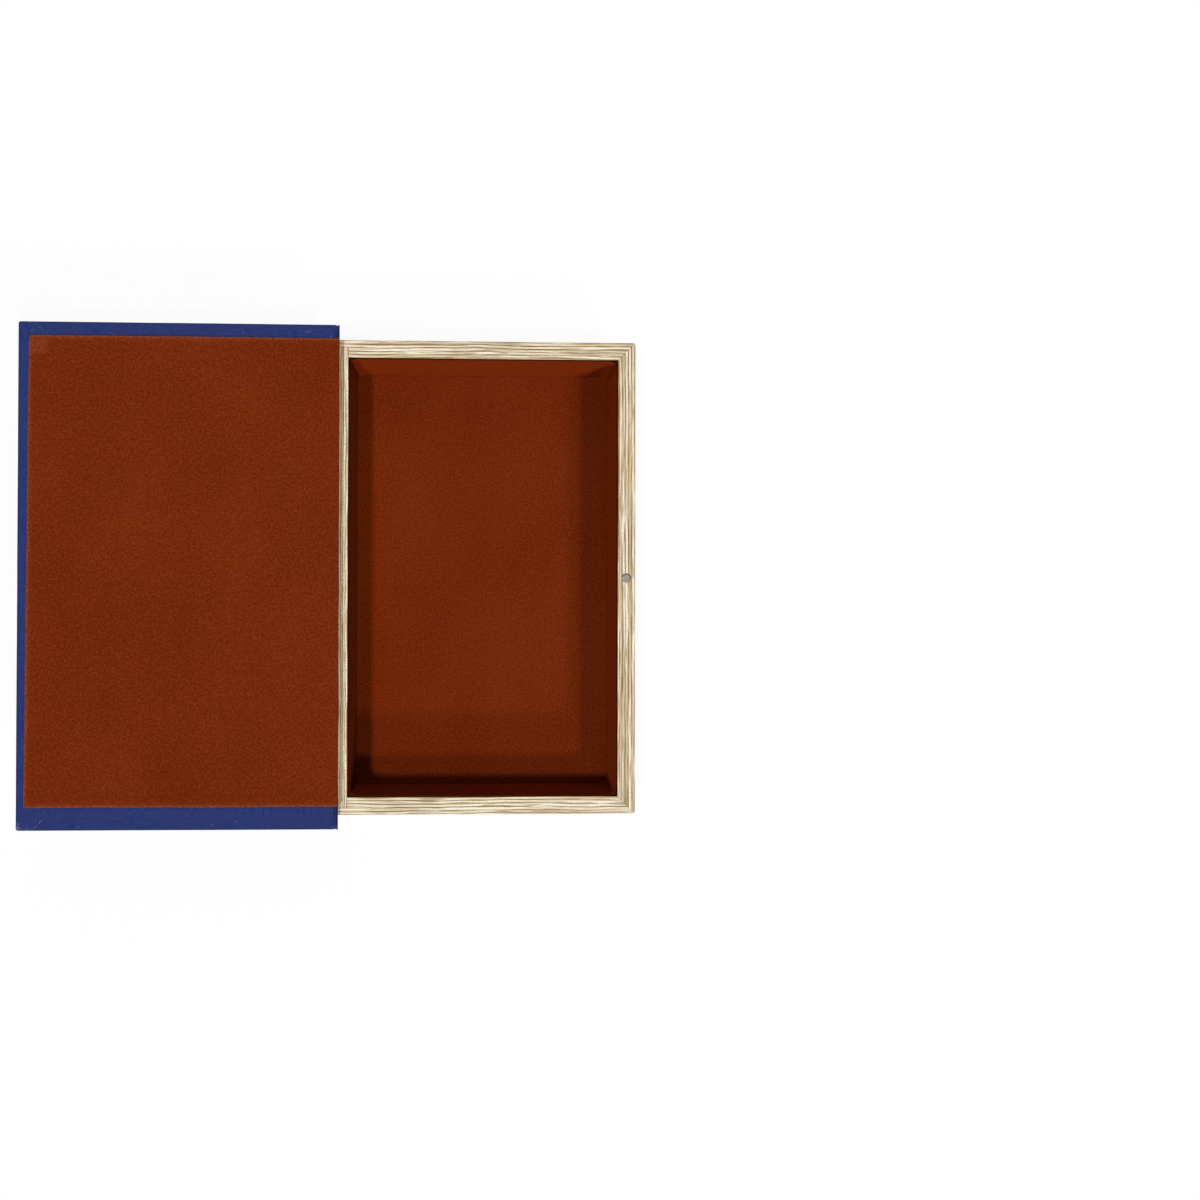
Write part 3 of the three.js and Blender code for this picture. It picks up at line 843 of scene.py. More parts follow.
def spine_section():
    """Outer points of the section from the top joint round the back to the bottom joint."""
    ease_z = spine_half - spine_ease
    ease_x = -math.sqrt((spine_radius - spine_ease) ** 2 - ease_z**2)
    turn = math.atan2(ease_z, ease_x)
    points = [(x, spine_half) for x in np.linspace(spine_high[0], arc_centre + ease_x + 0.3, 4)]
    for centre_x, centre_z, radius, angles in (
        (arc_centre + ease_x, ease_z, spine_ease, np.linspace(math.pi / 2, turn, 6)),
        (arc_centre, 0.0, spine_radius, np.linspace(turn, math.pi, 12)[1:]),
    ):
        points += [(centre_x + radius * math.cos(a), centre_z + radius * math.sin(a)) for a in angles]
    lower = [(x, -z) for x, z in points[-2::-1]]
    return np.array(points + lower) + (0, spine_middle)


section = spine_section()
print("spine section has", len(section), "points, radius", round(spine_radius, 1), "mm")

# %% The spine's cloth
ear_dip = 0.4
end_round_head = 1.4
end_round_tail = 2.2
end_draw = 0.28  # share of the spine's depth that its ends are drawn in by
straight_half = 128.0


def running_length(path):
    """How far along a path each of its points lies."""
    return np.concatenate([[0], np.cumsum(np.linalg.norm(np.diff(path, axis=0), axis=1))])


def spine_cloth():
    """Rows of points from the tail's turn-in, along the spine, to the head's turn-in."""
    inner_z = np.clip(section[:, 1], spine_low[2] + 1, spine_high[2] - 1)
    inner = np.column_stack([np.full(len(section), spine_inner), inner_z])
    distance = np.abs(section[:, 1] - spine_middle) / spine_half
    end = spine_high[1] - ear_dip * (1 - distance**2) ** 2

    def end_rows(side, rounding):
        """The y of each row over one end, how far it is drawn in and how worn it is."""
        bend = quarter_bend(0, 15, 30, 45, 60, 75, 90)
        rows = [(end - rounding * near, end_draw * far, 0.4) for near, far in bend]
        rows += [(end, share, 0.2) for share in (0.45, 0.65, 0.85, 1.0)]
        rows += [(end - back, 1.0, 0.0) for back in (0.6, 4.0, 10.0, turn_in)]
        return [(side * y, share, worn) for y, share, worn in rows]

    straight = np.linspace(-straight_half, straight_half, 45)
    middle_rows = [(np.full(len(section), y), 0.0, 0.05) for y in straight]
    rows = end_rows(-1, end_round_tail)[::-1] + middle_rows + end_rows(1, end_round_head)
    across = running_length(section)
    long_edges = 0.35 * np.exp(-((1 - distance) * spine_half) / 1.2)
    points, flat, rub = [], [], []
    run = 0.0
    for y, share, worn in rows:
        at = section * (1 - share) + inner * share
        row = np.column_stack([at[:, 0], y, at[:, 1]])
        if points:
            run += float(np.linalg.norm(row - points[-1], axis=1).mean())
        points.append(row)
        flat.append(np.column_stack([across, np.full(len(section), run)]))
        rub.append(np.clip(worn + long_edges, 0, 1))
    quads = quads_of(numbered(len(rows), len(section)))
    points = uneven(np.concatenate(points), amount=0.06, wavelength=25.0, seed=3)
    piece = cloth_piece("spine_wrap", points, quads, navy, np.concatenate(rub), np.concatenate(flat))
    return thicken(piece, cloth)


spine_wrap = seat(spine_cloth(), "box", "book_cloth", "spine_cloth")
print("spine", np.round(spine_high - spine_low, 2), "mm")

# %% [markdown]
# ### The two joints
#
# Between spine and boards the cloth is bare, and it bends there. The lower joint never moves: it
# is pressed up into a groove. The upper one is the hinge. It could ride on the cover, but then
# it would tear off the spine when the cover turns; here it is built as it lies with the cover
# open, its transform is baked in, and it takes the place of the joint cloth.

# %% A strip of cloth swept along the book
strip_ends = np.array([1, 0.9985, 0.996])  # shares of its half length, close together at an end
strip_rub = 0.12


def strip(name, path, half_length, seed):
    """A sheet that follows a path in x and z, all along the book."""
    ys = half_length * np.concatenate([-strip_ends, np.linspace(-0.99, 0.99, 45), strip_ends[::-1]])
    points = np.array([(x, y, z) for y in ys for x, z in path])
    flat = np.array([(t, y) for y in ys for t in running_length(path)])
    quads = quads_of(numbered(len(ys), len(path)))
    points = uneven(points, amount=0.03, wavelength=20.0, seed=seed)
    return thicken(cloth_piece(name, points, quads, navy, np.full(len(points), strip_rub), flat), cloth)


print("rows along a strip:", 45 + 2 * len(strip_ends))

# %% The hinge
joint_low, joint_high = box_of("joint_cloth")
hinge_bend = 0.6
ear = 0.45  # how far the strip's ends stand out past the cover, as the worn ears of a joint do

hinge_path = [(x, joint_low[2]) for x in np.linspace(joint_low[0], joint_high[0] - hinge_bend, 14)]
for near, far in quarter_bend(22.5, 45, 67.5, 90):
    hinge_path.append((joint_high[0] - hinge_bend * near, joint_low[2] + hinge_bend * far))
hinge_path += [(joint_high[0], z) for z in np.linspace(joint_low[2] + hinge_bend, joint_high[2], 6)[1:]]
hinge_strip = strip("hinge_cloth", hinge_path, joint_high[1] + ear, seed=4)
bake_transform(hinge_strip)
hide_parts("joint_cloth")
print("hinge strip", np.round(joint_high - joint_low, 2), "mm")

# %% The fixed joint under the tray
groove_rise = 1.2
groove_overlap = 0.4  # how far the cloth reaches onto the board
groove_lift = 0.25  # how far it climbs there
groove_short = 0.4  # how far it stops short of the board's ends
groove_start = back_low[0]
groove_end = -back_high[0] + groove_overlap


def groove_place(share):
    """A point of the groove's arch from the spine, share 0, to the board, share 1."""
    height = 4 * groove_rise * share * (1 - share) + groove_lift * share**4
    return groove_start + (groove_end - groove_start) * share, height


groove_path = [groove_place(share) for share in np.linspace(0, 1, 15)]
groove = strip("back_joint", groove_path, back_high[1] - groove_short, seed=5)
seat(groove, "box", "book_cloth", "back_cloth")

# %% [markdown]
# ## Velvet linings
#
# The velvet is cut with scissors and glued down, so its edges are soft, a little wavy and
# thicker than paper. Each lining is a closed pad: a pile face, a round edge and a back. The
# panel in the cover lies over the turn-ins at its rim and sinks by their thickness inside them,
# which shows as a faint step all round. In the tray the velvet doesn't go into the upright
# corners but round them, so the pile of each wall's lining swells towards its two ends.

# %% A velvet pad
pile_round = 0.32  # radius of the pile at a cut edge
back_bevel = 0.15
# how far below the pile a cut edge is darkened fully as painted shade
edge_shade_depth = 0.45


def velvet_pad(
    name, size, thickness, axes, origin, steps, seed,
    dip=None, plan_map=None, wear=None, corner=0.6, finish=rust,
):
    """A closed pad of velvet in local p, q and h, with its pile at h = thickness.

    From plan points, dip says how far the pile is lowered, plan_map moves them, and wear gives
    their rub, which on the tray's linings is painted shade. The cut edges are
    darkened as painted shade as well.
    """
    def outline(inset):
        """The pad's plan, drawn in all round."""
        return rounded_grid((inset, inset), np.array(size) - inset, max(corner - inset, 0.1), steps)

    profile = [(pile_round * near, thickness - pile_round * far) for near, far in quarter_bend(30, 60, 90)]
    profile += [(0.0, back_bevel), (back_bevel, 0.0)]
    rings = [at_height(border_of(outline(inset)), height) for inset, height in profile]
    pile, back = at_height(outline(pile_round), thickness), at_height(outline(back_bevel), 0.0)
    local, quads = skirted(pile, rings, back)
    plan = local[:, :2].copy()
    # painted shade: every cut edge is darkened from the pile down to the back
    edge_shade = np.clip((thickness - local[:, 2]) / edge_shade_depth, 0, 1)
    rub = -edge_shade if wear is None else wear(plan) * (1 - edge_shade) - edge_shade
    if dip is not None:
        local[:, 2] -= dip(plan) * (local[:, 2] / thickness)
    soft = uneven(local, amount=0.07, wavelength=9.0, seed=seed) - local
    local[:, 2] -= np.abs(soft[:, 2]) * (local[:, 2] / thickness)
    if plan_map is not None:
        local[:, :2] = plan_map(plan)
    return cloth_piece(name, to_world(local, origin, axes), facing(quads, axes), finish, rub)


print("velvet edge: round over", pile_round, "mm")

# %% How the panel in the front cover lies
panel_low, panel_high = box_of("cover_lining")
panel_spread = 0.5  # how much further the soft pile reaches over the joint than the cut edge
panel_size = (panel_high[0] - panel_low[0] + panel_spread, panel_high[1] - panel_low[1])
turn_in_step = 0.32
step_width = 1.6
joint_dip, joint_run = 0.3, 1.4  # at the panel's edge over the joint


def panel_dip(plan):
    """How far the pile sinks inside the turn-ins, and at its edge over the joint."""
    from_fore = plan[:, 0] - (turn_in - (panel_low[0] - front_low[0]))
    from_tail = plan[:, 1] - (turn_in - (panel_low[1] - front_low[1]))
    from_head = (panel_size[1] - plan[:, 1]) - (turn_in - (front_high[1] - panel_high[1]))
    inside = np.minimum(np.minimum(from_fore, from_tail), from_head)
    share = np.clip(inside / step_width + 0.5, 0, 1)
    over = np.clip((plan[:, 0] - panel_size[0]) / joint_run + 1, 0, 1)
    return turn_in_step * share * share * (3 - 2 * share) + joint_dip * over**2


print("dip in the panel's middle:", panel_dip(np.array([panel_size]) / 2)[0], "mm")

# %% How the panel is cut, where its pile is worn, and where it has a painted highlight
panel_skew = 1.5  # how much further the panel reaches to the fore edge at the tail
scissor_waves = ((0.35, 34, 0.5), (0.15, 7, 4.5))  # how deep and how long, and a place in the noise
# painted highlight: paler pile along the panel's edges
edge_highlight, edge_highlight_fade = 0.6, 0.8
patch_side, patch_fade, patch_rub = 10.5, 1.5, 0.17


def wobble(x, y, z):
    """Smooth noise between -1 and 1 at a place."""
    return noise.noise(Vector((x, y, z)))


def panel_plan(plan):
    """The panel's outline: slanted at the fore edge, cut a little wavy all round."""
    u, v = (plan / panel_size).T
    moved = plan.copy()
    moved[:, 0] += panel_skew * v * (1 - u)
    for number, (x, y) in enumerate(plan):
        reach = sum(deep * abs(wobble(x / long, y / long, z)) for deep, long, z in scissor_waves)
        moved[number] += (reach * (1 - u[number]), reach * (1 - 2 * v[number]))
    return moved


def panel_wear_and_highlight(plan):
    """How pale the pile is: a painted highlight along the three edges on the turn-ins, and wear in one
    rubbed corner.
    """
    gap = np.minimum(plan[:, 0], np.minimum(plan[:, 1], panel_size[1] - plan[:, 1]))
    from_corner = np.maximum(plan[:, 0], panel_size[1] - plan[:, 1])
    patch = patch_rub * np.clip((patch_side - from_corner) / patch_fade, 0, 1)
    return np.maximum(edge_highlight * np.exp(-np.maximum(gap, 0) / edge_highlight_fade), patch)


print("rub at the panel's edge and middle:", panel_wear_and_highlight(np.array([(0, 50), (80, 125)])).round(2))

# %% The panel in the front cover
panel_thickness = 0.95
panel_corner = (panel_low[0], panel_low[1], panel_high[2] - panel_thickness)
cover_velvet = velvet_pad(
    "cover_velvet", panel_size, panel_thickness, (fore, head, up), panel_corner,
    steps=(70, 104), seed=6, dip=panel_dip, plan_map=panel_plan, wear=panel_wear_and_highlight, corner=1.1,
)
seat(cover_velvet, "cover", "velvet", "cover_lining")
print("velvet panel", np.round(panel_size, 1), "mm")

# %% The pile in the tray's upright corners
corner_round = 5.0  # radius of the pile there


def corner_swell(length, start):
    """A dip below nought, which lifts a lining's pile round the corner at both of its ends."""
    def lift(plan):
        """How far the pile dips; below nought it rises."""
        gap = np.minimum(plan[:, 0], length - plan[:, 0]) - start
        left = corner_round - np.clip(gap, (1 - math.sqrt(0.5)) * corner_round, corner_round)
        return np.sqrt(corner_round**2 - left**2) - corner_round
    return lift


print("swell at a lining's end:", round(-corner_swell(100, 0)(np.zeros((1, 2)))[0], 2), "mm")

# %% The linings of the tray
lining_pitch = 3.0
fewest_steps = 10
tray_linings = (
    # name, what it is glued to, its two long directions and the way its pile points, how dark its
    # colour is painted as shade, and its sheen where that isn't the common one: lit and shaded copies
    ("floor", "tray_base", (fore, head, up), -0.07, 0.4),
    ("head", "head_wall", (fore, up, -head), 0.0, 0.6),
    ("tail", "tail_wall", (fore, up, head), 0.0, None),
    ("fore_edge", "fore_edge_wall", (head, up, -fore), -0.33, 0.34),
    ("spine_side", "spine_side_wall", (head, up, fore), -0.6, 0.17),
)
for seed, (side, ground, axes, wall_shade, sheen) in enumerate(tray_linings, 10):
    name, node = side + "_velvet", side + "_lining"
    low, high = box_of(node)
    spans = np.abs(np.array(axes) @ (high - low))
    origin = np.where(np.sum(axes, 0) < 0, high, low)
    steps = [max(fewest_steps, int(span / lining_pitch)) for span in spans[:2]]
    covered = spans[2] if side in ("head", "tail") else 0.0  # by the linings of the long walls
    lining = velvet_pad(
        name, spans[:2], spans[2], axes, origin, steps, seed,
        dip=None if side == "floor" else corner_swell(spans[0], covered),
        wear=lambda plan: np.full(len(plan), wall_shade),
        # painted light: the floor and side walls get darker copies with less sheen, the head wall a
        # brighter one
        finish=velvet("painted_light_" + name, sheen) if sheen else rust,
    )
    seat(lining, "box", "velvet", node)
    print(name, np.round(spans, 1), "mm")

# %% [markdown]
# ## The magnet
#
# A small round magnet is let into the fore-edge rim. It is a little smaller than its hole and
# was pushed to the tail side of it, so a dark crescent stays open at the head side. A lathe turns
# such a disc, and so does this cell: a profile, and a ring of points for each place on it.

# %% Turned bodies
def closed_tube(rings):
    """Points and faces of a body made of rings of points, closed at both ends."""
    index = numbered(*rings.shape[:2])
    faces = quads_of(np.concatenate([index, index[:, :1]], 1)).tolist()
    return rings.reshape(-1, 3), faces + [index[0].tolist(), index[-1][::-1].tolist()]


def turned(profile, around, segments=64):
    """A turned body: a profile of radius and height that starts and ends near the axis."""
    angles = np.linspace(0, 2 * math.pi, segments, endpoint=False)
    circle_plan = np.column_stack([np.cos(angles), np.sin(angles)])
    rings = [at_height(around[:2] + radius * circle_plan, height) for radius, height in profile]
    return closed_tube(np.array(rings))


print("faces of a turned body with three rings:", len(turned(((1, 0), (2, 1), (1, 2)), np.zeros(3))[1]))

# %% The magnet
magnet_low, magnet_high = box_of("tray_magnet")
magnet_play = 0.2
magnet_radius = (magnet_high[0] - magnet_low[0]) / 2 - magnet_play
magnet_centre = (magnet_low + magnet_high) / 2 - magnet_play * head
magnet_sunk = 0.22
magnet_bevel = 0.12
bevel_middle = 0.04
near_axis = 0.2
magnet_top = magnet_high[2] - magnet_sunk
magnet_profile = (
    (near_axis, magnet_top - 0.03), (1.0, magnet_top - 0.02), (1.8, magnet_top),  # a little hollow
    (magnet_radius - magnet_bevel, magnet_top),
    (magnet_radius - bevel_middle, magnet_top - bevel_middle),
    (magnet_radius, magnet_top - magnet_bevel),
    (magnet_radius, magnet_low[2]), (near_axis, magnet_low[2]),
)
magnet = new_piece("magnet_face", *turned(magnet_profile, magnet_centre), steel, smooth=True)
seat(magnet, "box", "catch_steel", "tray_magnet")
print("magnet", round(2 * magnet_radius, 2), "mm across")

# %% [markdown]
# ## The stamped design
#
# The cover and the spine carry a plain design in cream foil: a band of leaves round a rosette,
# a small landscape drawn in loose lines, and a sprig down the spine. It could be painted into
# the cloth's material, but foil has a thickness and an edge that catches light. So every stroke
# is a thin ribbon: a midline with a width at each point, raised a few hundredths of a
# millimetre off the cloth. Leaves, rays and dots are ribbons too, with widths that swell.

# %% Ribbons
foil_height = 0.06
foil_root = 0.08  # how deep the ribbon is set into the cloth
thinnest_half = 0.05


def ribbon(midline, half_widths, surface):
    """Points and faces of one raised ribbon; surface places plan points and heights in space."""
    midline = np.asarray(midline, float)
    widths = np.broadcast_to(np.maximum(half_widths, thinnest_half), len(midline))
    heading = np.gradient(midline, axis=0)
    heading /= np.maximum(np.linalg.norm(heading, axis=1, keepdims=True), 1e-9)
    sideways = np.column_stack([-heading[:, 1], heading[:, 0]]) * widths[:, None]
    corners = ((1, -foil_root), (1, foil_height), (-1, foil_height), (-1, -foil_root))
    return closed_tube(np.stack([surface(midline + side * sideways, z) for side, z in corners], 1))


def stamp(name, strokes, surface, body):
    """One piece from many ribbons."""
    points, faces, count = [], [], 0
    for midline, widths in strokes:
        more, quads = ribbon(midline, widths, surface)
        points.append(more)
        faces += [[count + corner for corner in face] for face in quads]
        count += len(more)
    seat(new_piece(name, np.concatenate(points), faces, foil), body, "book_cloth")
    print(name, "has", len(strokes), "ribbons")


print("foil stands", foil_height, "mm off the cloth")

# %% Leaves, dots and circles
def heading_of(angle):
    """One step in a direction."""
    return np.array([math.cos(angle), math.sin(angle)])


def between(first, last, count):
    """Evenly spaced places from one to another."""
    first, last = np.array(first, float), np.array(last, float)
    return first + (last - first) * np.linspace(0, 1, count)[:, None]


def leaf(root, angle, length, width, bend=0.15):
    """A leaf: a curved midline, widest a little past its root."""
    share = np.linspace(0, 1, 13)
    turn = angle + bend * share * 2
    along = np.column_stack([np.cos(turn), np.sin(turn)]) * (length / 12)
    midline = np.array(root) + np.concatenate([[(0, 0)], np.cumsum(along[1:], axis=0)])
    return midline, width / 2 * np.sin(math.pi * share**0.8) ** 0.9


def dot(centre, radius):
    """A round dot, as a ribbon whose width follows a circle."""
    place = np.linspace(-1, 1, 17) * 0.995
    midline = np.column_stack([centre[0] + radius * place, np.full(17, centre[1])])
    return midline, radius * np.sqrt(1 - place**2)


def circle(centre, radius, width):
    """A ring of even width."""
    angles = np.linspace(0, 2 * math.pi, max(9, int(5.98 * radius)))
    return np.array(centre) + radius * np.column_stack([np.cos(angles), np.sin(angles)]), width / 2


print("a leaf's midline has", len(leaf((0, 0), 0, 8, 3)[0]), "points")

# %% Sprigs and rosettes
def sprig(start, end, pairs, leaf_length, leaf_width, spread=0.7):
    """A straight stem with pairs of leaves that grow shorter to its tip."""
    start, end = np.array(start, float), np.array(end, float)
    heading = math.atan2(*(end - start)[::-1])
    strokes = [(between(start, end, 9), np.linspace(0.55, 0.25, 9))]
    for number in range(pairs):
        share = (number + 0.4) / pairs
        root = start + (end - start) * share
        length, width = np.array([leaf_length, leaf_width]) * (1 - 0.35 * share)
        for side in (-1, 1):
            strokes.append(leaf(root, heading + side * spread, length, width, -side * 0.18))
    strokes.append(leaf(end, heading, leaf_length * 0.7, leaf_width * 0.7, 0.0))
    return strokes


def rosette(centre, radius, petals):
    """Petals round a dot, inside a ring."""
    strokes = [dot(centre, radius * 0.16), circle(centre, radius, radius * 0.09)]
    for angle in np.arange(petals) * 2 * math.pi / petals:
        root = np.array(centre) + radius * 0.24 * heading_of(angle)
        strokes.append(leaf(root, angle, radius * 0.6, radius * 0.36, 0.0))
    return strokes


print("a rosette of 8 petals has", len(rosette((0, 0), 10, 8)), "strokes")

# %% The band of leaves across the cover, and the sprig on the spine
band_left, band_right = 20.0, 144.0  # from the cover's spine edge
band_top, band_bottom = 54.0, 80.0  # from its head
band_x, band_y = (band_left + band_right) / 2, (band_top + band_bottom) / 2


def leaf_band():
    """A rosette between two sprigs that point outwards, and a rule above and below them."""
    strokes = rosette((band_x, band_y), 10.5, 8)
    for side in (-1, 1):
        strokes += sprig((band_x + side * 14.5, band_y), (band_x + side * 55.0, band_y), 8, 8.6, 3.3)
    for height in (band_top + 0.6, band_bottom - 0.6):
        strokes.append((between((band_left, height), (band_right, height), 30), 0.5))
    return strokes


def spine_design():
    """A long sprig between two rosettes, with a short rule beyond each."""
    strokes = rosette((0, 78), 9.0, 8) + rosette((0, 198), 9.0, 8)
    strokes += sprig((0, 92), (0, 181), 13, 9.6, 3.9)
    for height in (66.5, 209.5):
        strokes.append((between((-11, height), (11, height), 20), 0.45))
    return strokes


print("strokes in the band and on the spine:", len(leaf_band()), len(spine_design()))

# %% Loose lines
def loose(points, amount, seed):
    """A hand-drawn line: the points wander a little."""
    moves = [(wobble(x / 5, y / 5, seed), wobble(x / 5, y / 5, seed + 9.7)) for x, y in points]
    return points + amount * np.array(moves)


def pen(points, width):
    """A pen stroke through a row of points: thin at both ends."""
    swell = np.sin(np.linspace(0.15, math.pi - 0.15, len(points)))
    return points, width / 2 * (0.4 + 0.6 * swell)


def line_to(first, last, width, seed, wander=0.4):
    """One pen stroke between two places."""
    count = max(6, int(math.dist(first, last) / 0.8))
    return pen(loose(between(first, last, count), wander, seed), width)


print("a line of 10 mm has", len(line_to((0, 0), (10, 0), 0.7, 1)[0]), "points")

# %% Lines that pass behind things
def lies_in(points, outline):
    """Which points lie inside a closed outline."""
    x, y = points[:, :1], points[:, 1:]
    x0, y0 = np.asarray(outline, float).T
    x1, y1 = np.roll(x0, -1), np.roll(y0, -1)
    crosses = (y0 > y) != (y1 > y)
    meets = x < x0 + (y - y0) * (x1 - x0) / np.where(y1 == y0, 1e-9, y1 - y0)
    return (crosses & meets).sum(1) % 2 == 1


def shown_parts(stroke, outlines):
    """The parts of a stroke that nothing in front of it hides, without stubs of one or two points."""
    midline, widths = stroke
    widths = np.broadcast_to(widths, len(midline))
    shown = np.ones(len(midline), bool)
    for outline in outlines:
        shown &= ~lies_in(midline, outline)
    ends = np.flatnonzero(np.diff(np.concatenate([[0], shown, [0]])))
    return [(midline[a:b], widths[a:b]) for a, b in ends.reshape(-1, 2) if b - a > 2]


behind = shown_parts(line_to((0, 0), (9, 0), 0.7, 1), [[(3, -5), (6, -5), (6, 5), (3, 5)]])
print("parts of a line that passes behind a post:", len(behind))

# %% Mountains
shore = 204  # all places are from the cover's spine edge and its head


def mountain(left, top, right, seed):
    """A peak: two jagged slopes, a broken ridge down its face and hatching on the shaded side."""
    left, top, right = [np.array(place, float) for place in (left, top, right)]
    height = left[1] - top[1]
    strokes = [line_to(top, foot, 0.95, seed + number, 2.2) for number, foot in enumerate((left, right))]
    ridge_foot = (top[0] + 0.12 * height, right[1] - 0.2 * height)
    ridge = loose(between(top, ridge_foot, 40), 6.0, seed + 2)
    ridge += (top - ridge[0]) * np.linspace(1, 0, 40)[:, None] ** 2
    strokes.append(pen(ridge, 0.6))
    slope = (right - top) / (right[1] - top[1])
    for number in range(2, 38, 2):
        start = ridge[number]
        share = (start[1] - top[1]) / height
        reach = 0.16 + 0.2 * share + 0.12 * wobble(number * 0.9, seed, 0.5)
        strokes.append(line_to(start + (0.8, 0.4), start + slope * reach * height, 0.5, seed + number))
    for number in range(5):
        start = top + (left - top) * (0.35 + 0.13 * number) + (2.2 + 2 * number, 1.5)
        strokes.append(line_to(start, start + (left - top) * 0.16, 0.45, seed + 50 + number))
    return strokes, [left, top, right]


mountains = [
    mountain((44, shore), (84, 143), (126, shore), 11),
    mountain((6, shore), (44, 160), (84, shore), 31),
    mountain((92, shore), (134, 166), (164, shore), 41),
]
print("strokes of the three peaks:", [len(strokes) for strokes, _ in mountains])

# %% Hills, and the far shore
def hill(left, right, base, height, seed):
    """A rounded hill with short strokes down its slope."""
    places = np.linspace(left, right, 90)
    share = (places - left) / (right - left)
    swell = np.array([wobble(x / 22, seed, 0.3) for x in places])
    ridge = np.column_stack([places, base - height * np.sin(math.pi * share) * (1 + 0.5 * swell)])
    strokes = [pen(ridge, 0.8)]
    for number in range(8, 84, 5):
        root = ridge[number] + (0, 1.4 + 1.5 * (number % 2))
        length = 2.2 + 1.6 * abs(wobble(number * 0.7, seed, 2.2))
        fall = np.array([1.6 * (share[number] - 0.5), 0.8])
        strokes.append(line_to(root, root + length * fall, 0.45, seed + number))
    return strokes, [(left, base + 4), *ridge, (right, base + 4)]


hills = [hill(4, 84, shore, 15, 1.0), hill(62, 128, shore, 9, 2.0), hill(104, 165, shore, 17, 3.0)]
shore_ends = [(6, shore), (163, shore - 1)]
shore_line = ([line_to(*shore_ends, 0.7, 21, 1.2)], shore_ends + [(163, shore + 2), (6, shore + 2)])
print("strokes of the three hills:", [len(strokes) for strokes, _ in hills])

# %% Pines and grass
def pine(x, y, height):
    """A pine: a trunk and drooping boughs that grow longer downwards."""
    strokes = [line_to((x, y), (x, y - height * 0.98), 0.8, x, 0.2)]
    boughs = int(height / 2.6)
    for number in range(boughs):
        share = (number + 0.6) / boughs
        level = y - height * (1 - 0.84 * share)
        for side in (-1, 1):
            reach = height * 0.23 * share * (1 + 0.25 * wobble(number, x, side)) + 0.5
            tip = (x + side * reach, level + reach * 0.42)
            strokes.append(line_to((x, level), tip, 1.0, x + number + side, 0.3))
    return strokes, [(x - height * 0.24, y - 1), (x, y - height), (x + height * 0.24, y - 1)]


def grass(left, right, y, seed):
    """Tufts of short blades along the near shore."""
    strokes = [line_to((left, y), (right, y + 1), 0.7, seed, 1.6)]
    for number in range(int((right - left) / 2.2)):
        root = np.array([left + 2.2 * number + 1, y + 0.6])
        lean = 1.6 * wobble(number * 0.8, seed, 5.5)
        strokes.append(line_to(root, root + (lean, -2.4 - abs(lean)), 0.45, seed + number, 0.1))
    return strokes, [(left, y), (right, y), (right, y + 6), (left, y + 6)]


meadow = [grass(6, 58, 232, 3), grass(116, 162, 234, 8)]
pines = [pine(15, 231, 33), pine(28, 233, 45), pine(44, 232, 29)]
pines += [pine(128, 234, 27), pine(142, 235, 43), pine(154, 234, 31)]
print("strokes of the pines:", [len(strokes) for strokes, _ in pines])

# %% The lake
def ripples(left, right, top, bottom, count):
    """Short level strokes, closer together further away."""
    strokes = []
    for number in range(count):
        share = number / (count - 1)
        y = top + (bottom - top) * share**1.3
        x = left + (right - left) * (0.5 + 0.75 * wobble(number * 1.7, 3.3, 0.4))
        half = 4 + 7 * abs(wobble(number * 1.1, 8.1, 1.4)) + 4 * share
        strokes.append(line_to((x - half, y), (x + half, y), 0.55, 60 + number, 0.7))
    return strokes, []


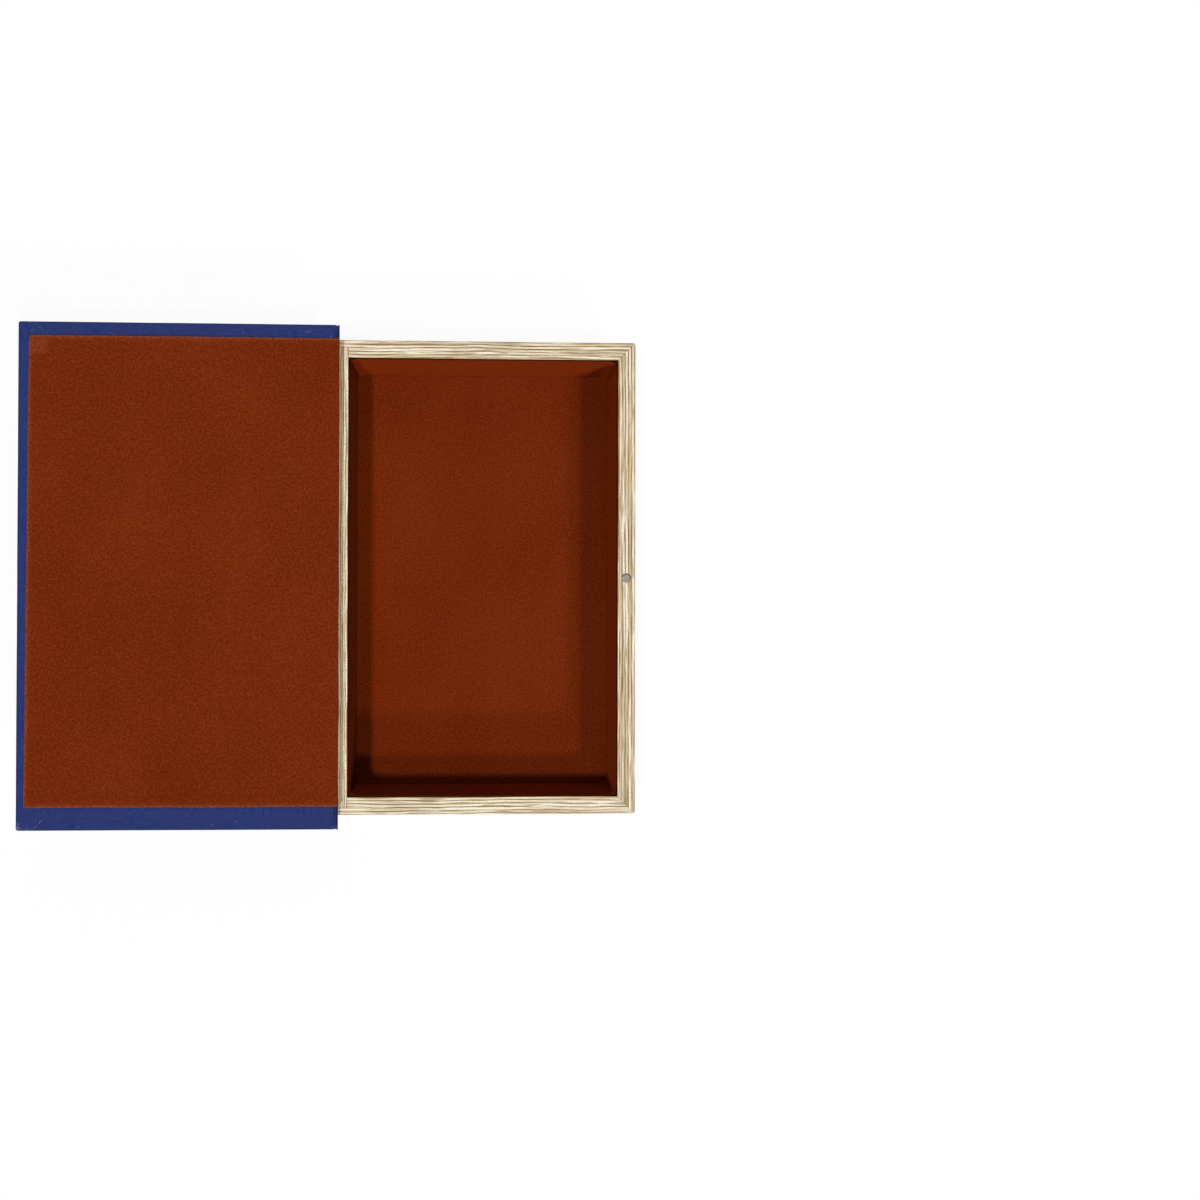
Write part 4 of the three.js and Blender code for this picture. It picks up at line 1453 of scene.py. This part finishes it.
def sailing_boat(x, y, length):
    """A small boat: its hull, its mast and two sails."""
    hull = np.linspace(-1, 1, 15)
    keel = np.column_stack([x + hull * length / 2, y + 2.4 * (1 - hull**4)])
    stern, bow = (x - length / 2, y), (x + length / 2, y)
    mast_top = (x, y - length * 1.1)
    strokes = [pen(keel, 0.8), line_to(stern, bow, 0.7, 1, 0.1), line_to((x, y), mast_top, 0.6, 2, 0.1)]
    for side, foot in ((1, 0.42), (-1, 0.34)):
        corner = (x + side * foot * length, y - 1.6)
        strokes.append(line_to(mast_top, corner, 0.6, 3 + side, 0.2))
        strokes.append(line_to(corner, (x, y - 1.6), 0.6, 6 + side, 0.1))
    return strokes, [stern, mast_top, bow, (x, y + 2.5)]


lake = [sailing_boat(88, 216, 13), ripples(48, 128, 207, 229, 22)]
print("strokes of the boat and the ripples:", [len(strokes) for strokes, _ in lake])

# %% The sky
def sun(centre, radius):
    """A ring and its rays, long and short in turn."""
    strokes = [circle(centre, radius, 0.8)]
    for number in range(20):
        ray = heading_of(2 * math.pi * number / 20)
        reach = radius + (5.5 if number % 2 else 8.5)
        strokes.append(line_to(centre + (radius + 2.2) * ray, centre + reach * ray, 0.7, number, 0.1))
    return strokes, []


def bird(x, y, span):
    """Two short arcs that meet."""
    wing = np.linspace(0, 1, 9)
    lift = span * 0.45 * np.sin(wing * 2.4)
    return [pen(np.column_stack([x + side * span * wing, y - lift]), 0.6) for side in (-1, 1)]


sky = [sun(np.array((128.0, 140.0)), 8.0)]
birds = bird(36, 140, 4.5) + bird(49, 132, 3.5) + bird(57, 143, 3.0)
print("strokes of the sun and the birds:", len(sky[0][0]), len(birds))

# %% The landscape, from the front to the back
landscape, outlines = [], []
for thing, outline in [*meadow, *pines, *lake, shore_line, *hills, *mountains, *sky]:
    for stroke in thing:
        landscape += shown_parts(stroke, outlines)
    if outline:
        outlines.append(outline)
landscape += birds
print("strokes that show:", len(landscape))

# %% Stamp the cover and the spine
def on_cover(plan, height):
    """Places on the front cover's outer face, from its spine edge and its head."""
    return at_height(front_high[:2] - plan, front_low[2] - height)


def on_spine(plan, height):
    """Places on the spine's rounded back, across it and down from its head."""
    z = spine_middle + plan[:, 0]
    x = arc_centre - np.sqrt(spine_radius**2 - (z - spine_middle) ** 2) - height
    return np.column_stack([x, spine_high[1] - plan[:, 1], z])


stamp("cover_band", leaf_band(), on_cover, "cover")
stamp("cover_landscape", landscape, on_cover, "cover")
stamp("spine_sprig", spine_design(), on_spine, "box")
